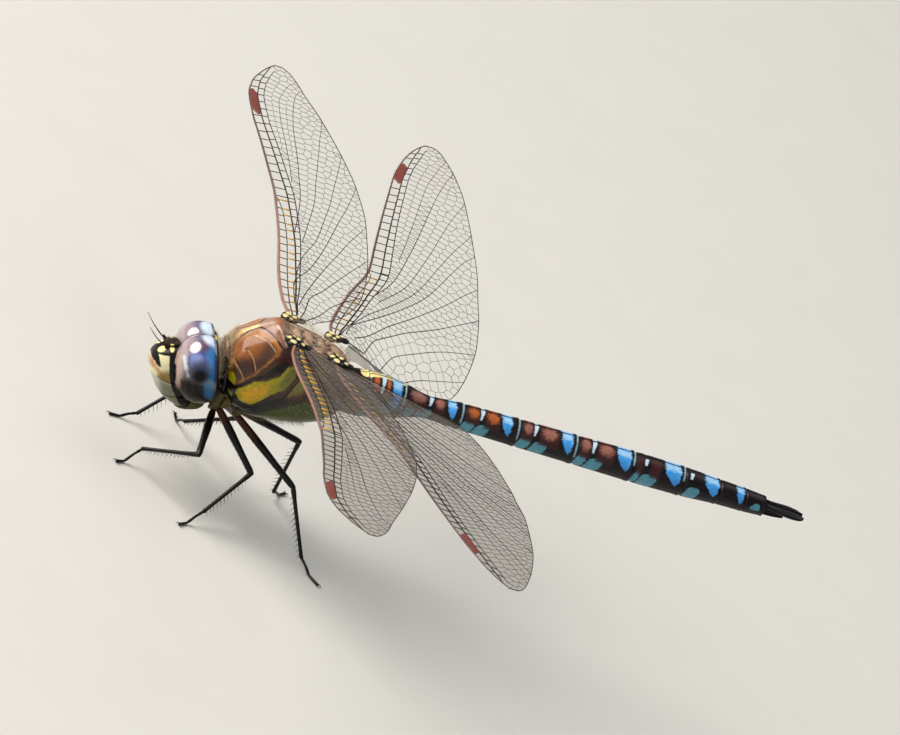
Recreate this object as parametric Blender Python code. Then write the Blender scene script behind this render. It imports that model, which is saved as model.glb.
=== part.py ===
"""Migrant hawker dragonfly, adult male, life size, standing on its six feet with its four wings spread.

Body frame, in which every shape is drawn, in millimetres: origin midway between the roots of the two forewings,
+X towards the head, +Y to the animal's left, +Z up, with the abdomen's axis parallel to X.
Floor frame, in which the finished model stands, in metres: +Z up from the floor under the feet, origin below the
middle of the model's box. The body leans in it with the head low and the tail raised.
"""

import math

import bmesh
import bpy
from mathutils import Matrix, Vector

METRES_PER_MM = 0.001
GAP = 0.05  # the thin cut between neighbouring pieces
WELD = 0.002  # points nearer than this become one
DOME_REACH = 0.6  # a limb's rounded end, as shares of its radius
DOME_END = 0.5
SIDES = {"left": 1.0, "right": -1.0}

# Stance: the body's axis falls towards the head, and the wing roots stand this high over the floor.
BODY_PITCH = math.radians(13.2)
WING_ROOT_HEIGHT = 17.37

# Head, in its own frame about its centre: x out through the face, z along the long axis of the eyes.
HEAD_CENTRE = Vector((6.95, 0.0, -5.3))
HEAD_NOD = math.radians(17.0)
EYE_CENTRE_Y = 1.32
EYE_HALF_WIDTH = 2.7
EYE_CENTRE_Z = -0.35
EYE_HALF_HEIGHT = 3.15
EYE_FRONT_DEPTH = 2.35
EYE_REAR_DEPTH = 2.1
EYE_REAR_CUT = -1.38
EYE_FRONT_POWER = 2.0
EYE_REAR_POWER = 3.2
BACK_PLATE_STATIONS = (  # depth, half width, half height
    (EYE_REAR_CUT - GAP, 3.5, 2.75),
    (-1.58, 3.35, 2.65),
    (-1.72, 2.9, 2.3),
)
BACK_PLATE_Z = -0.45
FACE_BACK = 0.3
FACE_STATIONS = (  # height, front, half width
    (1.5, 3.2, 0.85),
    (1.1, 3.85, 1.35),
    (0.55, 4.27, 1.65),
    (-0.1, 4.42, 1.85),
    (-1.1, 4.33, 2.0),
    (-2.0, 4.0, 2.1),
    (-2.8, 3.5, 2.1),
    (-3.4, 2.95, 2.0),
    (-3.85, 2.35, 1.8),
    (-4.15, 1.8, 1.5),
)
FRONS_FLOOR = -1.35
CLYPEUS_FLOOR = -2.85

# Thorax: stations along X at mid height, with the heights of back and belly, the half width and the forward lean.
THORAX_STATIONS = (
    (4.25, -2.9, -7.4, 1.7, 14.0),
    (4.0, -2.2, -7.9, 2.2, 13.0),
    (3.5, -1.35, -8.3, 2.7, 11.0),
    (2.8, -0.65, -8.6, 3.1, 8.0),
    (1.9, 0.1, -8.8, 3.4, 5.0),
    (0.8, 0.6, -8.85, 3.55, 2.0),
    (-0.8, 0.6, -8.7, 3.5, 0.0),
    (-2.6, 0.2, -8.45, 3.3, 0.0),
    (-4.2, -0.15, -8.05, 3.05, 0.0),
    (-5.5, -0.75, -7.5, 2.65, 0.0),
    (-6.3, -1.6, -6.8, 2.1, 0.0),
)
COLLAR_STATIONS = (
    (4.88, -3.8, -6.5, 1.1, 15.0),
    (4.8, -3.1, -7.1, 1.5, 15.0),
    (4.6, -2.55, -7.9, 1.95, 15.0),
    (4.25 + GAP, -2.35, -8.1, 2.0, 14.0),
)
THORAX_POWER = 2.3
NECK_RADIUS = 0.75

# Abdomen: where the rear rim of each of the ten segments lies, with its half width, half height and centre height.
ABDOMEN_FRONT = (-6.45, 1.95, 2.1, -4.15)
ABDOMEN_RIMS = (
    (-8.2, 2.1, 2.2, -4.05),
    (-11.95, 1.55, 1.65, -3.65),
    (-17.6, 1.22, 1.24, -3.5),
    (-23.0, 1.34, 1.3, -3.48),
    (-28.6, 1.4, 1.36, -3.48),
    (-34.2, 1.46, 1.42, -3.48),
    (-39.1, 1.42, 1.36, -3.48),
    (-42.65, 1.22, 1.16, -3.48),
    (-45.2, 1.12, 1.08, -3.52),
    (-47.2, 1.0, 0.94, -3.56),
)
SECOND_SEGMENT_SWELL = 1.08
WAIST_X = -14.4
WAIST_HALF_WIDTH = 1.02
RIM_FLARE = 1.035

# Tail appendages.
CERCUS_LENGTH = 3.95
CERCUS_THICKNESS = 0.68
EPIPROCT_LENGTH = 2.2

# Wings: span stations of the left wing with its leading edge, its trailing edge and the height of the leading edge.
WING_THICKNESS = 0.5
FOREWING_STATIONS = (  # y, leading x, trailing x, height
    (1.5, -0.15, -1.9, -0.15),
    (2.6, 0.0, -2.3, 0.0),
    (3.4, 0.1, -3.4, 0.1),
    (4.6, 0.1, -4.9, 0.23),
    (6.4, 0.12, -6.3, 0.45),
    (9.0, 0.15, -7.6, 0.75),
    (12.0, 0.2, -8.3, 1.1),
    (16.0, 0.22, -8.75, 1.56),
    (21.0, 0.25, -8.85, 2.14),
    (25.5, 0.7, -8.25, 2.72),
    (29.5, 1.2, -7.25, 3.24),
    (33.0, 1.7, -6.1, 3.69),
    (36.0, 1.85, -5.0, 4.03),
    (38.5, 1.35, -4.0, 4.22),
    (40.5, 0.35, -3.3, 4.38),
    (41.8, -0.6, -2.6, 4.5),
    (42.5, -1.3, -1.9, 4.55),
)
HINDWING_STATIONS = (
    (1.6, -4.15, -5.7, -0.72),
    (2.6, -4.15, -6.6, -0.68),
    (2.9, -4.2, -10.5, -0.67),
    (3.1, -4.25, -14.6, -0.66),
    (3.5, -4.35, -16.8, -0.65),
    (4.5, -4.6, -17.7, -0.62),
    (6.0, -5.1, -18.5, -0.58),
    (8.5, -6.0, -19.3, -0.5),
    (12.0, -7.25, -20.05, -0.38),
    (16.6, -9.1, -20.4, -0.22),
    (21.0, -9.95, -20.4, 0.33),
    (25.5, -10.85, -20.1, 0.9),
    (29.5, -11.7, -19.75, 1.42),
    (33.0, -12.5, -19.3, 1.87),
    (36.0, -13.6, -18.75, 2.08),
    (38.2, -14.7, -18.15, 2.15),
    (39.6, -15.7, -17.6, 2.19),
    (40.2, -16.3, -17.0, 2.2),
)
FOREWING_DROOP = ((1.5, 0.05), (12.0, 0.05), (27.0, 0.0), (43.0, 0.0))  # y, fall of the chord per unit of chord
HINDWING_DROOP = ((1.5, 0.15), (12.0, 0.13), (24.0, 0.04), (32.0, 0.0), (43.0, 0.0))

# How far each wing is swung forward about its root, in degrees.
WING_SWINGS = {
    ("fore", "left"): -0.3,
    ("fore", "right"): 1.0,
    ("hind", "left"): 0.9,
    ("hind", "right"): 0.0,
}

# Legs: hip, lengths and radii for each pair. The feet lie flat at their tips.
HIPS = {"fore": (4.15, 1.1, -9.3), "middle": (3.65, 1.1, -8.85), "hind": (1.9, 1.0, -9.05)}
COXA_ROOTS = {"fore": (3.9, 0.95, -7.3), "middle": (2.9, 1.3, -7.3), "hind": (1.7, 1.2, -7.8)}
COXA_RADII = (0.62, 0.5)
FEMUR_LENGTHS = {"fore": 5.52, "middle": 6.64, "hind": 8.4}
TIBIA_LENGTHS = {"fore": 5.69, "middle": 5.72, "hind": 6.61}
TARSUS_LENGTHS = {"fore": 2.95, "middle": 3.18, "hind": 2.98}
FEMUR_RADII = (0.42, 0.3)
TIBIA_RADII = (0.27, 0.25)
TARSUS_RADIUS = 0.25
FOOT_AXIS_HEIGHT = 0.2  # the foot's round underside is cut flat by the floor
FOOT_FLAT_SHARE = 0.4
FOOT_ARCH = 0.06
FEMUR_NECK = 0.85
OVERSHOOT = 0.7  # a limb is drawn this far past its joint before it is cut there

# Stance of each leg: outward turn and climb of the thigh, then of the shin, then the outward turn of the foot.
STANCE = {
    ("fore", "left"): (79.5, -22.5, -37.5, -26.5, 41.0),
    ("fore", "right"): (83.5, -17.0, -17.5, -44.0, -26.5),
    ("middle", "left"): (136.5, -32.0, 41.5, -35.5, 46.0),
    ("middle", "right"): (135.0, -33.0, 35.5, -34.5, 90.0),
    ("hind", "left"): (158.0, -29.0, 152.0, -61.0, 130.0),
    ("hind", "right"): (165.5, -20.5, 93.0, -76.0, 129.5),
}

FINISHES = {  # base colour, roughness
    "eye_lens": ((0.2, 0.32, 0.55, 1.0), 0.15),
    "face_cuticle": ((0.72, 0.66, 0.3, 1.0), 0.35),
    "dark_cuticle": ((0.03, 0.022, 0.02, 1.0), 0.35),
    "thorax_cuticle": ((0.3, 0.17, 0.07, 1.0), 0.4),
    "abdomen_cuticle": ((0.07, 0.04, 0.035, 1.0), 0.35),
    "wing_membrane": ((0.7, 0.72, 0.68, 1.0), 0.2),
}


def make_materials():
    """One plain finish for each kind of skin."""
    made = {}
    for name, (colour, roughness) in FINISHES.items():
        material = bpy.data.materials.new(name)
        material.use_nodes = True
        shader = material.node_tree.nodes["Principled BSDF"]
        shader.inputs["Base Color"].default_value = colour
        shader.inputs["Roughness"].default_value = roughness
        shader.inputs["Metallic"].default_value = 0.0
        material.diffuse_color = colour
        made[name] = material
    return made


def blend(table, x):
    """Read a table of (x, value, ...) rows at x, in straight runs between rows; rows may rise or fall in x."""
    rows = sorted(table)
    if x <= rows[0][0]:
        return rows[0][1:]
    for low, high in zip(rows, rows[1:]):
        if x <= high[0]:
            t = (x - low[0]) / (high[0] - low[0])
            return tuple(a + (b - a) * t for a, b in zip(low[1:], high[1:]))
    return rows[-1][1:]


def oval(centre, across, upward, half_width, half_height, sides, power=2.0):
    """A closed ring of points on a superellipse."""
    points = []
    for step in range(sides):
        angle = 2.0 * math.pi * (step + 0.5) / sides
        c, s = math.cos(angle), math.sin(angle)
        w = math.copysign(abs(c) ** (2.0 / power), c) * half_width
        h = math.copysign(abs(s) ** (2.0 / power), s) * half_height
        points.append(centre + across * w + upward * h)
    return points


def loft(rings):
    """A closed skin over rings of equal size, with flat ends."""
    bm = bmesh.new()
    rows = [[bm.verts.new(point) for point in ring] for ring in rings]
    count = len(rows[0])
    for low, high in zip(rows, rows[1:]):
        for i in range(count):
            j = (i + 1) % count
            bm.faces.new((low[i], low[j], high[j], high[i]))
    bm.faces.new(rows[0][::-1])
    bm.faces.new(rows[-1])
    bmesh.ops.recalc_face_normals(bm, faces=bm.faces)
    return bm


def tube(points, radii, sides=8, domes=(True, True)):
    """A round limb along points, with a domed or a flat end on each side."""
    path = [Vector(p) for p in points]
    sizes = list(radii)
    first, last = (path[1] - path[0]).normalized(), (path[-1] - path[-2]).normalized()
    if domes[0]:
        path.insert(0, path[0] - first * sizes[0] * DOME_REACH)
        sizes.insert(0, sizes[0] * DOME_END)
    if domes[1]:
        path.append(path[-1] + last * sizes[-1] * DOME_REACH)
        sizes.append(sizes[-1] * DOME_END)
    rings = []
    across = None
    for i, point in enumerate(path):
        ahead = path[min(i + 1, len(path) - 1)] - path[max(i - 1, 0)]
        ahead.normalize()
        if across is None:
            across = ahead.orthogonal() if abs(ahead.z) > 0.95 else Vector((0.0, 0.0, 1.0)).cross(ahead)
        across = (across - ahead * across.dot(ahead)).normalized()
        rings.append(oval(point, across, ahead.cross(across), sizes[i], sizes[i], sides))
    return loft(rings)


def transformed(bm, matrix):
    bmesh.ops.transform(bm, matrix=matrix, verts=bm.verts)
    return bm


def keep_side(bm, point, normal):
    """Cut bm with a plane and keep what lies on the side that normal points to, closed."""
    geometry = bm.verts[:] + bm.edges[:] + bm.faces[:]
    cut = bmesh.ops.bisect_plane(
        bm, geom=geometry, dist=1e-5, plane_co=point, plane_no=normal, clear_inner=True
    )
    rim = [item for item in cut["geom_cut"] if isinstance(item, bmesh.types.BMEdge)]
    bmesh.ops.contextual_create(bm, geom=rim)
    bmesh.ops.recalc_face_normals(bm, faces=bm.faces)
    return bm


def grown(bm, distance):
    """A copy of bm swollen by distance, to cut a neighbour with."""
    copy = bm.copy()
    copy.normal_update()
    for vert in copy.verts:
        vert.co = vert.co + vert.normal * distance
    return copy


def scratch_object(bm):
    mesh = bpy.data.meshes.new("scratch")
    bm.to_mesh(mesh)
    scratch = bpy.data.objects.new("scratch", mesh)
    bpy.context.scene.collection.objects.link(scratch)
    return scratch


def combined(bm, others, operation, distance=0.0):
    """The result of a Boolean of bm with each of the others, which are first swollen by distance."""
    body = scratch_object(bm)
    cutters = [scratch_object(grown(other, distance) if distance else other) for other in others]
    for cutter in cutters:
        modifier = body.modifiers.new("cut", "BOOLEAN")
        modifier.operation = operation
        modifier.object = cutter
    bpy.context.view_layer.update()
    evaluated = body.evaluated_get(bpy.context.evaluated_depsgraph_get())
    result = bmesh.new()
    result.from_mesh(evaluated.to_mesh())
    evaluated.to_mesh_clear()
    for item in [body] + cutters:
        mesh = item.data
        bpy.data.objects.remove(item)
        bpy.data.meshes.remove(mesh)
    bmesh.ops.remove_doubles(result, verts=result.verts, dist=WELD)
    bmesh.ops.dissolve_degenerate(result, dist=WELD, edges=result.edges)
    return result


def islands(bm):
    """The faces of bm, sorted into the bodies that they belong to."""
    waiting = set(bm.faces)
    groups = []
    while waiting:
        front = [waiting.pop()]
        group = []
        while front:
            face = front.pop()
            group.append(face)
            for edge in face.edges:
                for other in edge.link_faces:
                    if other in waiting:
                        waiting.remove(other)
                        front.append(other)
        groups.append(group)
    return groups


def cut_by(bm, *others):
    """Clear bm of its neighbours by the gap, and keep the largest body that is left."""
    result = combined(bm, others, "DIFFERENCE", GAP)
    groups = sorted(islands(result), key=lambda group: sum(face.calc_area() for face in group))
    crumbs = [face for group in groups[:-1] for face in group]
    bmesh.ops.delete(result, geom=crumbs, context="FACES")
    return result


def body_to_floor():
    """Where the body frame stands over the floor, in millimetres, before the model is centred."""
    return Matrix.Translation((0.0, 0.0, WING_ROOT_HEIGHT)) @ Matrix.Rotation(BODY_PITCH, 4, "Y")


def floor_height(point):
    return (body_to_floor() @ Vector(point)).z


# --- head -----------------------------------------------------------------------------------------------------


def head_matrix():
    return Matrix.Translation(HEAD_CENTRE) @ Matrix.Rotation(HEAD_NOD, 4, "Y")


def head_turned(bm):
    return transformed(bm, head_matrix())


def make_eye(side):
    """A helmet-shaped eye: round in front, squarer behind, cut flat where it meets its twin."""
    rings = []
    turns, sides = 12, 22
    for step in range(turns + 1):
        angle = math.pi * (0.04 + 0.92 * step / turns)
        c, s = math.cos(angle), math.sin(angle)
        power = EYE_FRONT_POWER if c >= 0 else EYE_REAR_POWER
        depth = EYE_FRONT_DEPTH if c >= 0 else EYE_REAR_DEPTH
        x = math.copysign(abs(c) ** (2.0 / power), c) * depth
        reach = s ** (2.0 / power)
        centre = Vector((x, EYE_CENTRE_Y * side, EYE_CENTRE_Z))
        rings.append(
            oval(centre, Vector((0, 1, 0)), Vector((0, 0, 1)), EYE_HALF_WIDTH * reach, EYE_HALF_HEIGHT * reach, sides)
        )
    eye = loft(rings)
    eye = keep_side(eye, Vector((EYE_REAR_CUT, 0.0, 0.0)), Vector((1.0, 0.0, 0.0)))
    eye = keep_side(eye, Vector((0.0, side * GAP / 2, 0.0)), Vector((0.0, side, 0.0)))
    return head_turned(eye)


def face_block():
    """Brow, face shield and upper lip as one form, before it is parted."""
    rings = []
    for height, front, half_width in FACE_STATIONS[::-1]:
        middle = (front + FACE_BACK) / 2
        centre = Vector((middle, 0.0, height))
        rings.append(
            oval(centre, Vector((0, 1, 0)), Vector((1, 0, 0)), half_width, (front - FACE_BACK) / 2, 20, 2.5)
        )
    return loft(rings)


def face_part(top, floor, eyes):
    part = face_block()
    if top is not None:
        part = keep_side(part, Vector((0.0, 0.0, top - GAP)), Vector((0.0, 0.0, -1.0)))
    if floor is not None:
        part = keep_side(part, Vector((0.0, 0.0, floor)), Vector((0.0, 0.0, 1.0)))
    return cut_by(head_turned(part), *eyes)


def rounded_block(centre, half_sizes, power=2.6, sides=16, turns=7):
    """A soft-cornered solid about its own centre."""
    rings = []
    for step in range(turns + 1):
        angle = math.pi * (0.06 + 0.88 * step / turns)
        z = -math.copysign(abs(math.cos(angle)) ** (2.0 / power), math.cos(angle)) * half_sizes[2]
        reach = math.sin(angle) ** (2.0 / power)
        ring_centre = Vector(centre) + Vector((0.0, 0.0, z))
        rings.append(
            oval(
                ring_centre,
                Vector((0, 1, 0)),
                Vector((1, 0, 0)),
                half_sizes[1] * reach,
                half_sizes[0] * reach,
                sides,
                power,
            )
        )
    return loft(rings)


def back_plate_ring(depth, half_width, half_height):
    centre = Vector((depth, 0.0, BACK_PLATE_Z))
    return oval(centre, Vector((0, 1, 0)), Vector((0, 0, 1)), half_width, half_height, 22, 2.3)


def make_head():
    """Every piece of the head, by name."""
    eyes = {side: make_eye(sign) for side, sign in SIDES.items()}
    both = list(eyes.values())
    face = head_turned(face_block())
    frons = face_part(None, FRONS_FLOOR, both)
    clypeus = face_part(FRONS_FLOOR, CLYPEUS_FLOOR, both)
    labrum = face_part(CLYPEUS_FLOOR, None, both)
    vertex = cut_by(head_turned(rounded_block((2.35, 0.0, 1.3), (0.8, 0.9, 0.6))), face, *both)
    whole_labium = head_turned(rounded_block((0.6, 0.0, -3.93), (1.6, 1.7, 0.85)))
    labium = cut_by(whole_labium, face, *both)
    plate = loft([back_plate_ring(*row) for row in BACK_PLATE_STATIONS])
    cheeks = rounded_block((-0.35, 0.0, -3.2), (1.15, 2.2, 0.75), 2.4, 16, 6)
    capsule = head_turned(combined(plate, [cheeks], "UNION"))
    capsule = cut_by(capsule, whole_labium, face, *both)
    pieces = {
        "eye_left": (eyes["left"], "eye_lens"),
        "eye_right": (eyes["right"], "eye_lens"),
        "frons": (frons, "face_cuticle"),
        "clypeus": (clypeus, "face_cuticle"),
        "labrum": (labrum, "face_cuticle"),
        "labium": (labium, "face_cuticle"),
        "vertex": (vertex, "dark_cuticle"),
        "head_capsule": (capsule, "dark_cuticle"),
    }
    for side, sign in SIDES.items():
        root = Vector((2.75, 0.62 * sign, 1.3))
        tip = Vector((4.55, 1.35 * sign, 3.75))
        feeler = tube([head_matrix() @ root, head_matrix() @ tip], (0.27, 0.25))
        pieces["antenna_" + side] = (cut_by(feeler, vertex, frons, *both), "dark_cuticle")
    return pieces


# --- thorax and abdomen ---------------------------------------------------------------------------------------


def body_ring(x, back, belly, half_width, lean, sides, power):
    lean = math.radians(lean)
    centre = Vector((x, 0.0, (back + belly) / 2))
    upward = Vector((math.sin(lean), 0.0, math.cos(lean)))
    return oval(centre, Vector((0, 1, 0)), upward, half_width, (back - belly) / 2, sides, power)


def make_trunk(head):
    """Thorax, the small collar in front of it, and the neck."""
    thorax = loft([body_ring(*row, 28, THORAX_POWER) for row in THORAX_STATIONS])
    collar = loft([body_ring(*row, 20, 2.2) for row in COLLAR_STATIONS])
    neck = tube([(4.9, 0.0, -5.4), (5.6, 0.0, -5.4)], (NECK_RADIUS, NECK_RADIUS), 12)
    solid_head = [piece for piece, _ in head.values()]
    collar = cut_by(collar, head["head_capsule"][0], head["labium"][0], head["eye_left"][0], head["eye_right"][0])
    neck = cut_by(neck, collar, *solid_head[:2], head["head_capsule"][0])
    return thorax, collar, neck


def segment_shape(index, x):
    """Half width, half height and centre height of the abdomen at x within one segment."""
    front = ABDOMEN_FRONT if index == 0 else ABDOMEN_RIMS[index - 1]
    rear = ABDOMEN_RIMS[index]
    table = [front, rear]
    if index == 1:
        middle_x = (front[0] + rear[0]) / 2 + 0.4
        swollen = [SECOND_SEGMENT_SWELL * (a + b) / 2 for a, b in zip(front[1:3], rear[1:3])]
        table.append((middle_x, *swollen, (front[3] + rear[3]) / 2))
    if index == 2:
        table.append((WAIST_X, WAIST_HALF_WIDTH, WAIST_HALF_WIDTH * 1.08, -3.55))
    return blend(table, x)


def make_segment(index, sides=18):
    front = (ABDOMEN_FRONT if index == 0 else ABDOMEN_RIMS[index - 1])[0]
    rear = ABDOMEN_RIMS[index][0] + GAP
    shares = (0.0, 0.05, 0.35, 0.65, 0.88, 0.97, 1.0)
    scales = (0.94, 1.0, 1.0, 1.0, 1.005, RIM_FLARE, 0.96)
    rings = []
    for share, scale in zip(shares, scales):
        x = front + (rear - front) * share
        half_width, half_height, centre = segment_shape(index, x)
        middle = Vector((x, 0.0, centre))
        rings.append(
            oval(middle, Vector((0, 1, 0)), Vector((0, 0, 1)), half_width * scale, half_height * scale, sides)
        )
    return loft(rings)


def make_auricles():
    """The two small knobs on the flanks of the second segment."""
    knobs = []
    for sign in SIDES.values():
        knobs.append(rounded_block((-9.9, 2.02 * sign, -3.75), (0.6, 0.38, 0.3), 2.2, 10, 4))
    return knobs


def make_abdomen(thorax):
    pieces = {}
    for index in range(len(ABDOMEN_RIMS)):
        segment = make_segment(index)
        if index == 0:
            segment = cut_by(segment, thorax)
        if index == 1:
            segment = combined(segment, make_auricles(), "UNION")
        pieces["abdomen_%d" % (index + 1)] = (segment, "abdomen_cuticle")
    return pieces


def make_tail(last_segment):
    """Two long blades above and one short plate below."""
    pieces = {}
    root_x = ABDOMEN_RIMS[-1][0]
    outline = (  # share of the length, inner edge, outer edge
        (-0.06, 0.32, 0.72),
        (0.12, 0.22, 0.78),
        (0.35, 0.12, 0.9),
        (0.65, 0.08, 1.0),
        (0.88, 0.1, 0.86),
        (1.0, 0.2, 0.5),
    )
    for side, sign in SIDES.items():
        rings = []
        for share, inner, outer in outline:
            centre = Vector((root_x - share * CERCUS_LENGTH, sign * (inner + outer) / 2, -3.3 - 0.25 * share))
            half = (outer - inner) / 2
            rings.append(
                oval(centre, Vector((0, 1, 0)), Vector((0, 0, 1)), half, CERCUS_THICKNESS / 2, 8, 2.5)
            )
        pieces["cercus_" + side] = (cut_by(loft(rings), last_segment), "dark_cuticle")
    plate = ((-0.1, 0.55), (0.35, 0.5), (0.75, 0.34), (1.0, 0.2))  # share of the length, half width
    rings = []
    for share, half in plate:
        centre = Vector((root_x - share * EPIPROCT_LENGTH, 0.0, -4.05))
        rings.append(oval(centre, Vector((0, 1, 0)), Vector((0, 0, 1)), half, 0.25, 8, 2.5))
    pieces["epiproct"] = (cut_by(loft(rings), last_segment), "dark_cuticle")
    return pieces


# --- wings ----------------------------------------------------------------------------------------------------


def make_wing(stations, droops, side, swing, columns=4):
    """A thin plate between the leading and trailing edges, its chord falling towards the body."""
    root = Vector((stations[1][1], stations[1][0] * side, 0.0))
    swung = Matrix.Translation(root) @ Matrix.Rotation(-math.radians(swing) * side, 4, "Z") @ Matrix.Translation(-root)
    rings = []
    for y, leading, trailing, height in stations:
        (droop,) = blend(droops, y)
        upper, lower = [], []
        for column in range(columns + 1):
            x = leading + (trailing - leading) * column / columns
            z = height - droop * (leading - x)
            upper.append(Vector((x, y * side, z + WING_THICKNESS / 2)))
            lower.append(Vector((x, y * side, z - WING_THICKNESS / 2)))
        rings.append(upper + lower[::-1])
    return transformed(loft(rings), swung)


# --- legs -----------------------------------------------------------------------------------------------------


def heading(turn, climb, side):
    turn, climb = math.radians(turn), math.radians(climb)
    return Vector((math.cos(climb) * math.cos(turn), math.cos(climb) * math.sin(turn) * side, math.sin(climb)))


def leg_joints(pair, side):
    """Hip, knee, ankle and toe in the body frame."""
    sign = SIDES[side]
    thigh_turn, thigh_climb, shin_turn, shin_climb, foot_turn = STANCE[(pair, side)]
    hip = Vector(HIPS[pair])
    hip.y *= sign
    knee = hip + heading(thigh_turn, thigh_climb, sign) * FEMUR_LENGTHS[pair]
    ankle = knee + heading(shin_turn, shin_climb, sign) * TIBIA_LENGTHS[pair]
    drop = floor_height(ankle) - FOOT_AXIS_HEIGHT
    reach = math.sqrt(max(TARSUS_LENGTHS[pair] ** 2 - drop**2, 0.0))
    flat = heading(foot_turn, 0.0, sign)
    to_floor = body_to_floor()
    ahead = to_floor.to_3x3() @ flat
    ahead.z = 0.0
    toe = to_floor @ ankle + ahead.normalized() * reach
    toe.z = FOOT_AXIS_HEIGHT
    return hip, knee, ankle, to_floor.inverted() @ toe


def mitred(points, radii, before, after, dome_end=False, sides=8):
    """A limb whose ends are cut where it turns from the limb before it and into the limb after it."""
    points = [Vector(p) for p in points]
    first, last = (points[1] - points[0]).normalized(), (points[-1] - points[-2]).normalized()
    start, end = points[0].copy(), points[-1].copy()
    points[0] = start - first * OVERSHOOT
    if not dome_end:
        points[-1] = end + last * OVERSHOOT
    limb = tube(points, radii, sides, (False, dome_end))
    turn = (before.normalized() + first).normalized()
    limb = keep_side(limb, start + turn * GAP / 2, turn)
    if after is not None:
        turn = (last + after.normalized()).normalized()
        limb = keep_side(limb, end - turn * GAP / 2, -turn)
    return limb


def foot_route(ankle, toe):
    """The foot comes down from the ankle and lies along the floor at its end; in the floor frame."""
    to_floor = body_to_floor()
    high, end = to_floor @ ankle, to_floor @ toe
    touch = high.lerp(end, 1.0 - FOOT_FLAT_SHARE)
    touch.z = FOOT_AXIS_HEIGHT
    arch = high.lerp(touch, 0.5)
    arch.z += FOOT_ARCH * high.z
    return [high, arch, touch, end]


def whole_coxa(pair, side):
    """The hip piece before its neighbours are cleared from it."""
    root, hip = Vector(COXA_ROOTS[pair]), Vector(HIPS[pair])
    root.y *= SIDES[side]
    hip.y *= SIDES[side]
    knee = leg_joints(pair, side)[1]
    coxa = tube([root, hip + (hip - root).normalized() * OVERSHOOT], COXA_RADII, 10, (True, False))
    turn = ((hip - root).normalized() + (knee - hip).normalized()).normalized()
    return keep_side(coxa, hip - turn * GAP / 2, -turn)


def whole_femur(pair, side):
    hip, knee, ankle, _ = leg_joints(pair, side)
    root = Vector(COXA_ROOTS[pair])
    root.y *= SIDES[side]
    radii = (FEMUR_RADII[0] * FEMUR_NECK, *FEMUR_RADII)
    return mitred([hip, hip.lerp(knee, 0.3), knee], radii, hip - root, ankle - knee)


def make_leg(pair, side, body_parts):
    """One leg, its hip piece cleared of the body, of the hips made before it and of the other legs' thighs."""
    hip, knee, ankle, toe = leg_joints(pair, side)
    route = foot_route(ankle, toe)
    from_floor = body_to_floor().inverted()
    foot_start = (from_floor @ route[1]) - ankle
    other_thighs = [whole_femur(other, side) for other in HIPS if other != pair]
    coxa = cut_by(whole_coxa(pair, side), *body_parts, *other_thighs)
    femur = whole_femur(pair, side)
    tibia = mitred([knee, ankle], TIBIA_RADII, knee - hip, foot_start)
    shin_on_floor = body_to_floor().to_3x3() @ (ankle - knee)
    tarsus = mitred(route, (TARSUS_RADIUS,) * 4, shin_on_floor, None, True)
    tarsus = keep_side(tarsus, Vector((0.0, 0.0, 0.0)), Vector((0.0, 0.0, 1.0)))
    tarsus = transformed(tarsus, from_floor)
    label = "%s_%s" % (pair, side)
    return {
        "coxa_" + label: (coxa, "face_cuticle"),
        "femur_" + label: (femur, "dark_cuticle"),
        "tibia_" + label: (tibia, "dark_cuticle"),
        "tarsus_" + label: (tarsus, "dark_cuticle"),
    }


# --- the whole animal -----------------------------------------------------------------------------------------


def make_pieces():
    head = make_head()
    thorax, collar, neck = make_trunk(head)
    abdomen = make_abdomen(thorax)
    pieces = dict(head)
    pieces["thorax"] = (thorax, "thorax_cuticle")
    pieces["prothorax"] = (collar, "thorax_cuticle")
    pieces["neck"] = (neck, "dark_cuticle")
    pieces.update(abdomen)
    pieces.update(make_tail(abdomen["abdomen_10"][0]))
    for side, sign in SIDES.items():
        forewing = make_wing(FOREWING_STATIONS, FOREWING_DROOP, sign, WING_SWINGS[("fore", side)])
        hindwing = make_wing(HINDWING_STATIONS, HINDWING_DROOP, sign, WING_SWINGS[("hind", side)])
        pieces["forewing_" + side] = (cut_by(forewing, thorax), "wing_membrane")
        pieces["hindwing_" + side] = (cut_by(hindwing, thorax), "wing_membrane")
        body_parts = [thorax, collar, head["head_capsule"][0], head["labium"][0]]
        for pair in HIPS:
            pieces.update(make_leg(pair, side, body_parts))
            body_parts.append(whole_coxa(pair, side))
    return pieces


def place(pieces, materials):
    """Turn every piece into an object in metres, standing on the floor about the middle of its box."""
    to_floor = body_to_floor()
    corners = []
    for bm, _ in pieces.values():
        bmesh.ops.triangulate(bm, faces=bm.faces)
        bmesh.ops.recalc_face_normals(bm, faces=bm.faces)
        corners += [to_floor @ vert.co for vert in bm.verts]
    middle_x = (min(c.x for c in corners) + max(c.x for c in corners)) / 2
    middle_y = (min(c.y for c in corners) + max(c.y for c in corners)) / 2
    stand = bpy.data.objects.new("dragonfly_stance", None)
    bpy.context.scene.collection.objects.link(stand)
    stand.matrix_world = (
        Matrix.Translation(Vector((-middle_x, -middle_y, WING_ROOT_HEIGHT)) * METRES_PER_MM)
        @ Matrix.Rotation(BODY_PITCH, 4, "Y")
    )
    for name, (bm, finish) in pieces.items():
        transformed(bm, Matrix.Scale(METRES_PER_MM, 4))
        mesh = bpy.data.meshes.new(name)
        bm.to_mesh(mesh)
        bm.free()
        mesh.materials.append(materials[finish])
        mesh.shade_smooth()
        mesh.set_sharp_from_angle(angle=math.radians(40))
        part = bpy.data.objects.new(name, mesh)
        bpy.context.scene.collection.objects.link(part)
        part.parent = stand


def main():
    for old in list(bpy.data.objects):
        bpy.data.objects.remove(old)
    place(make_pieces(), make_materials())


main()
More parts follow.
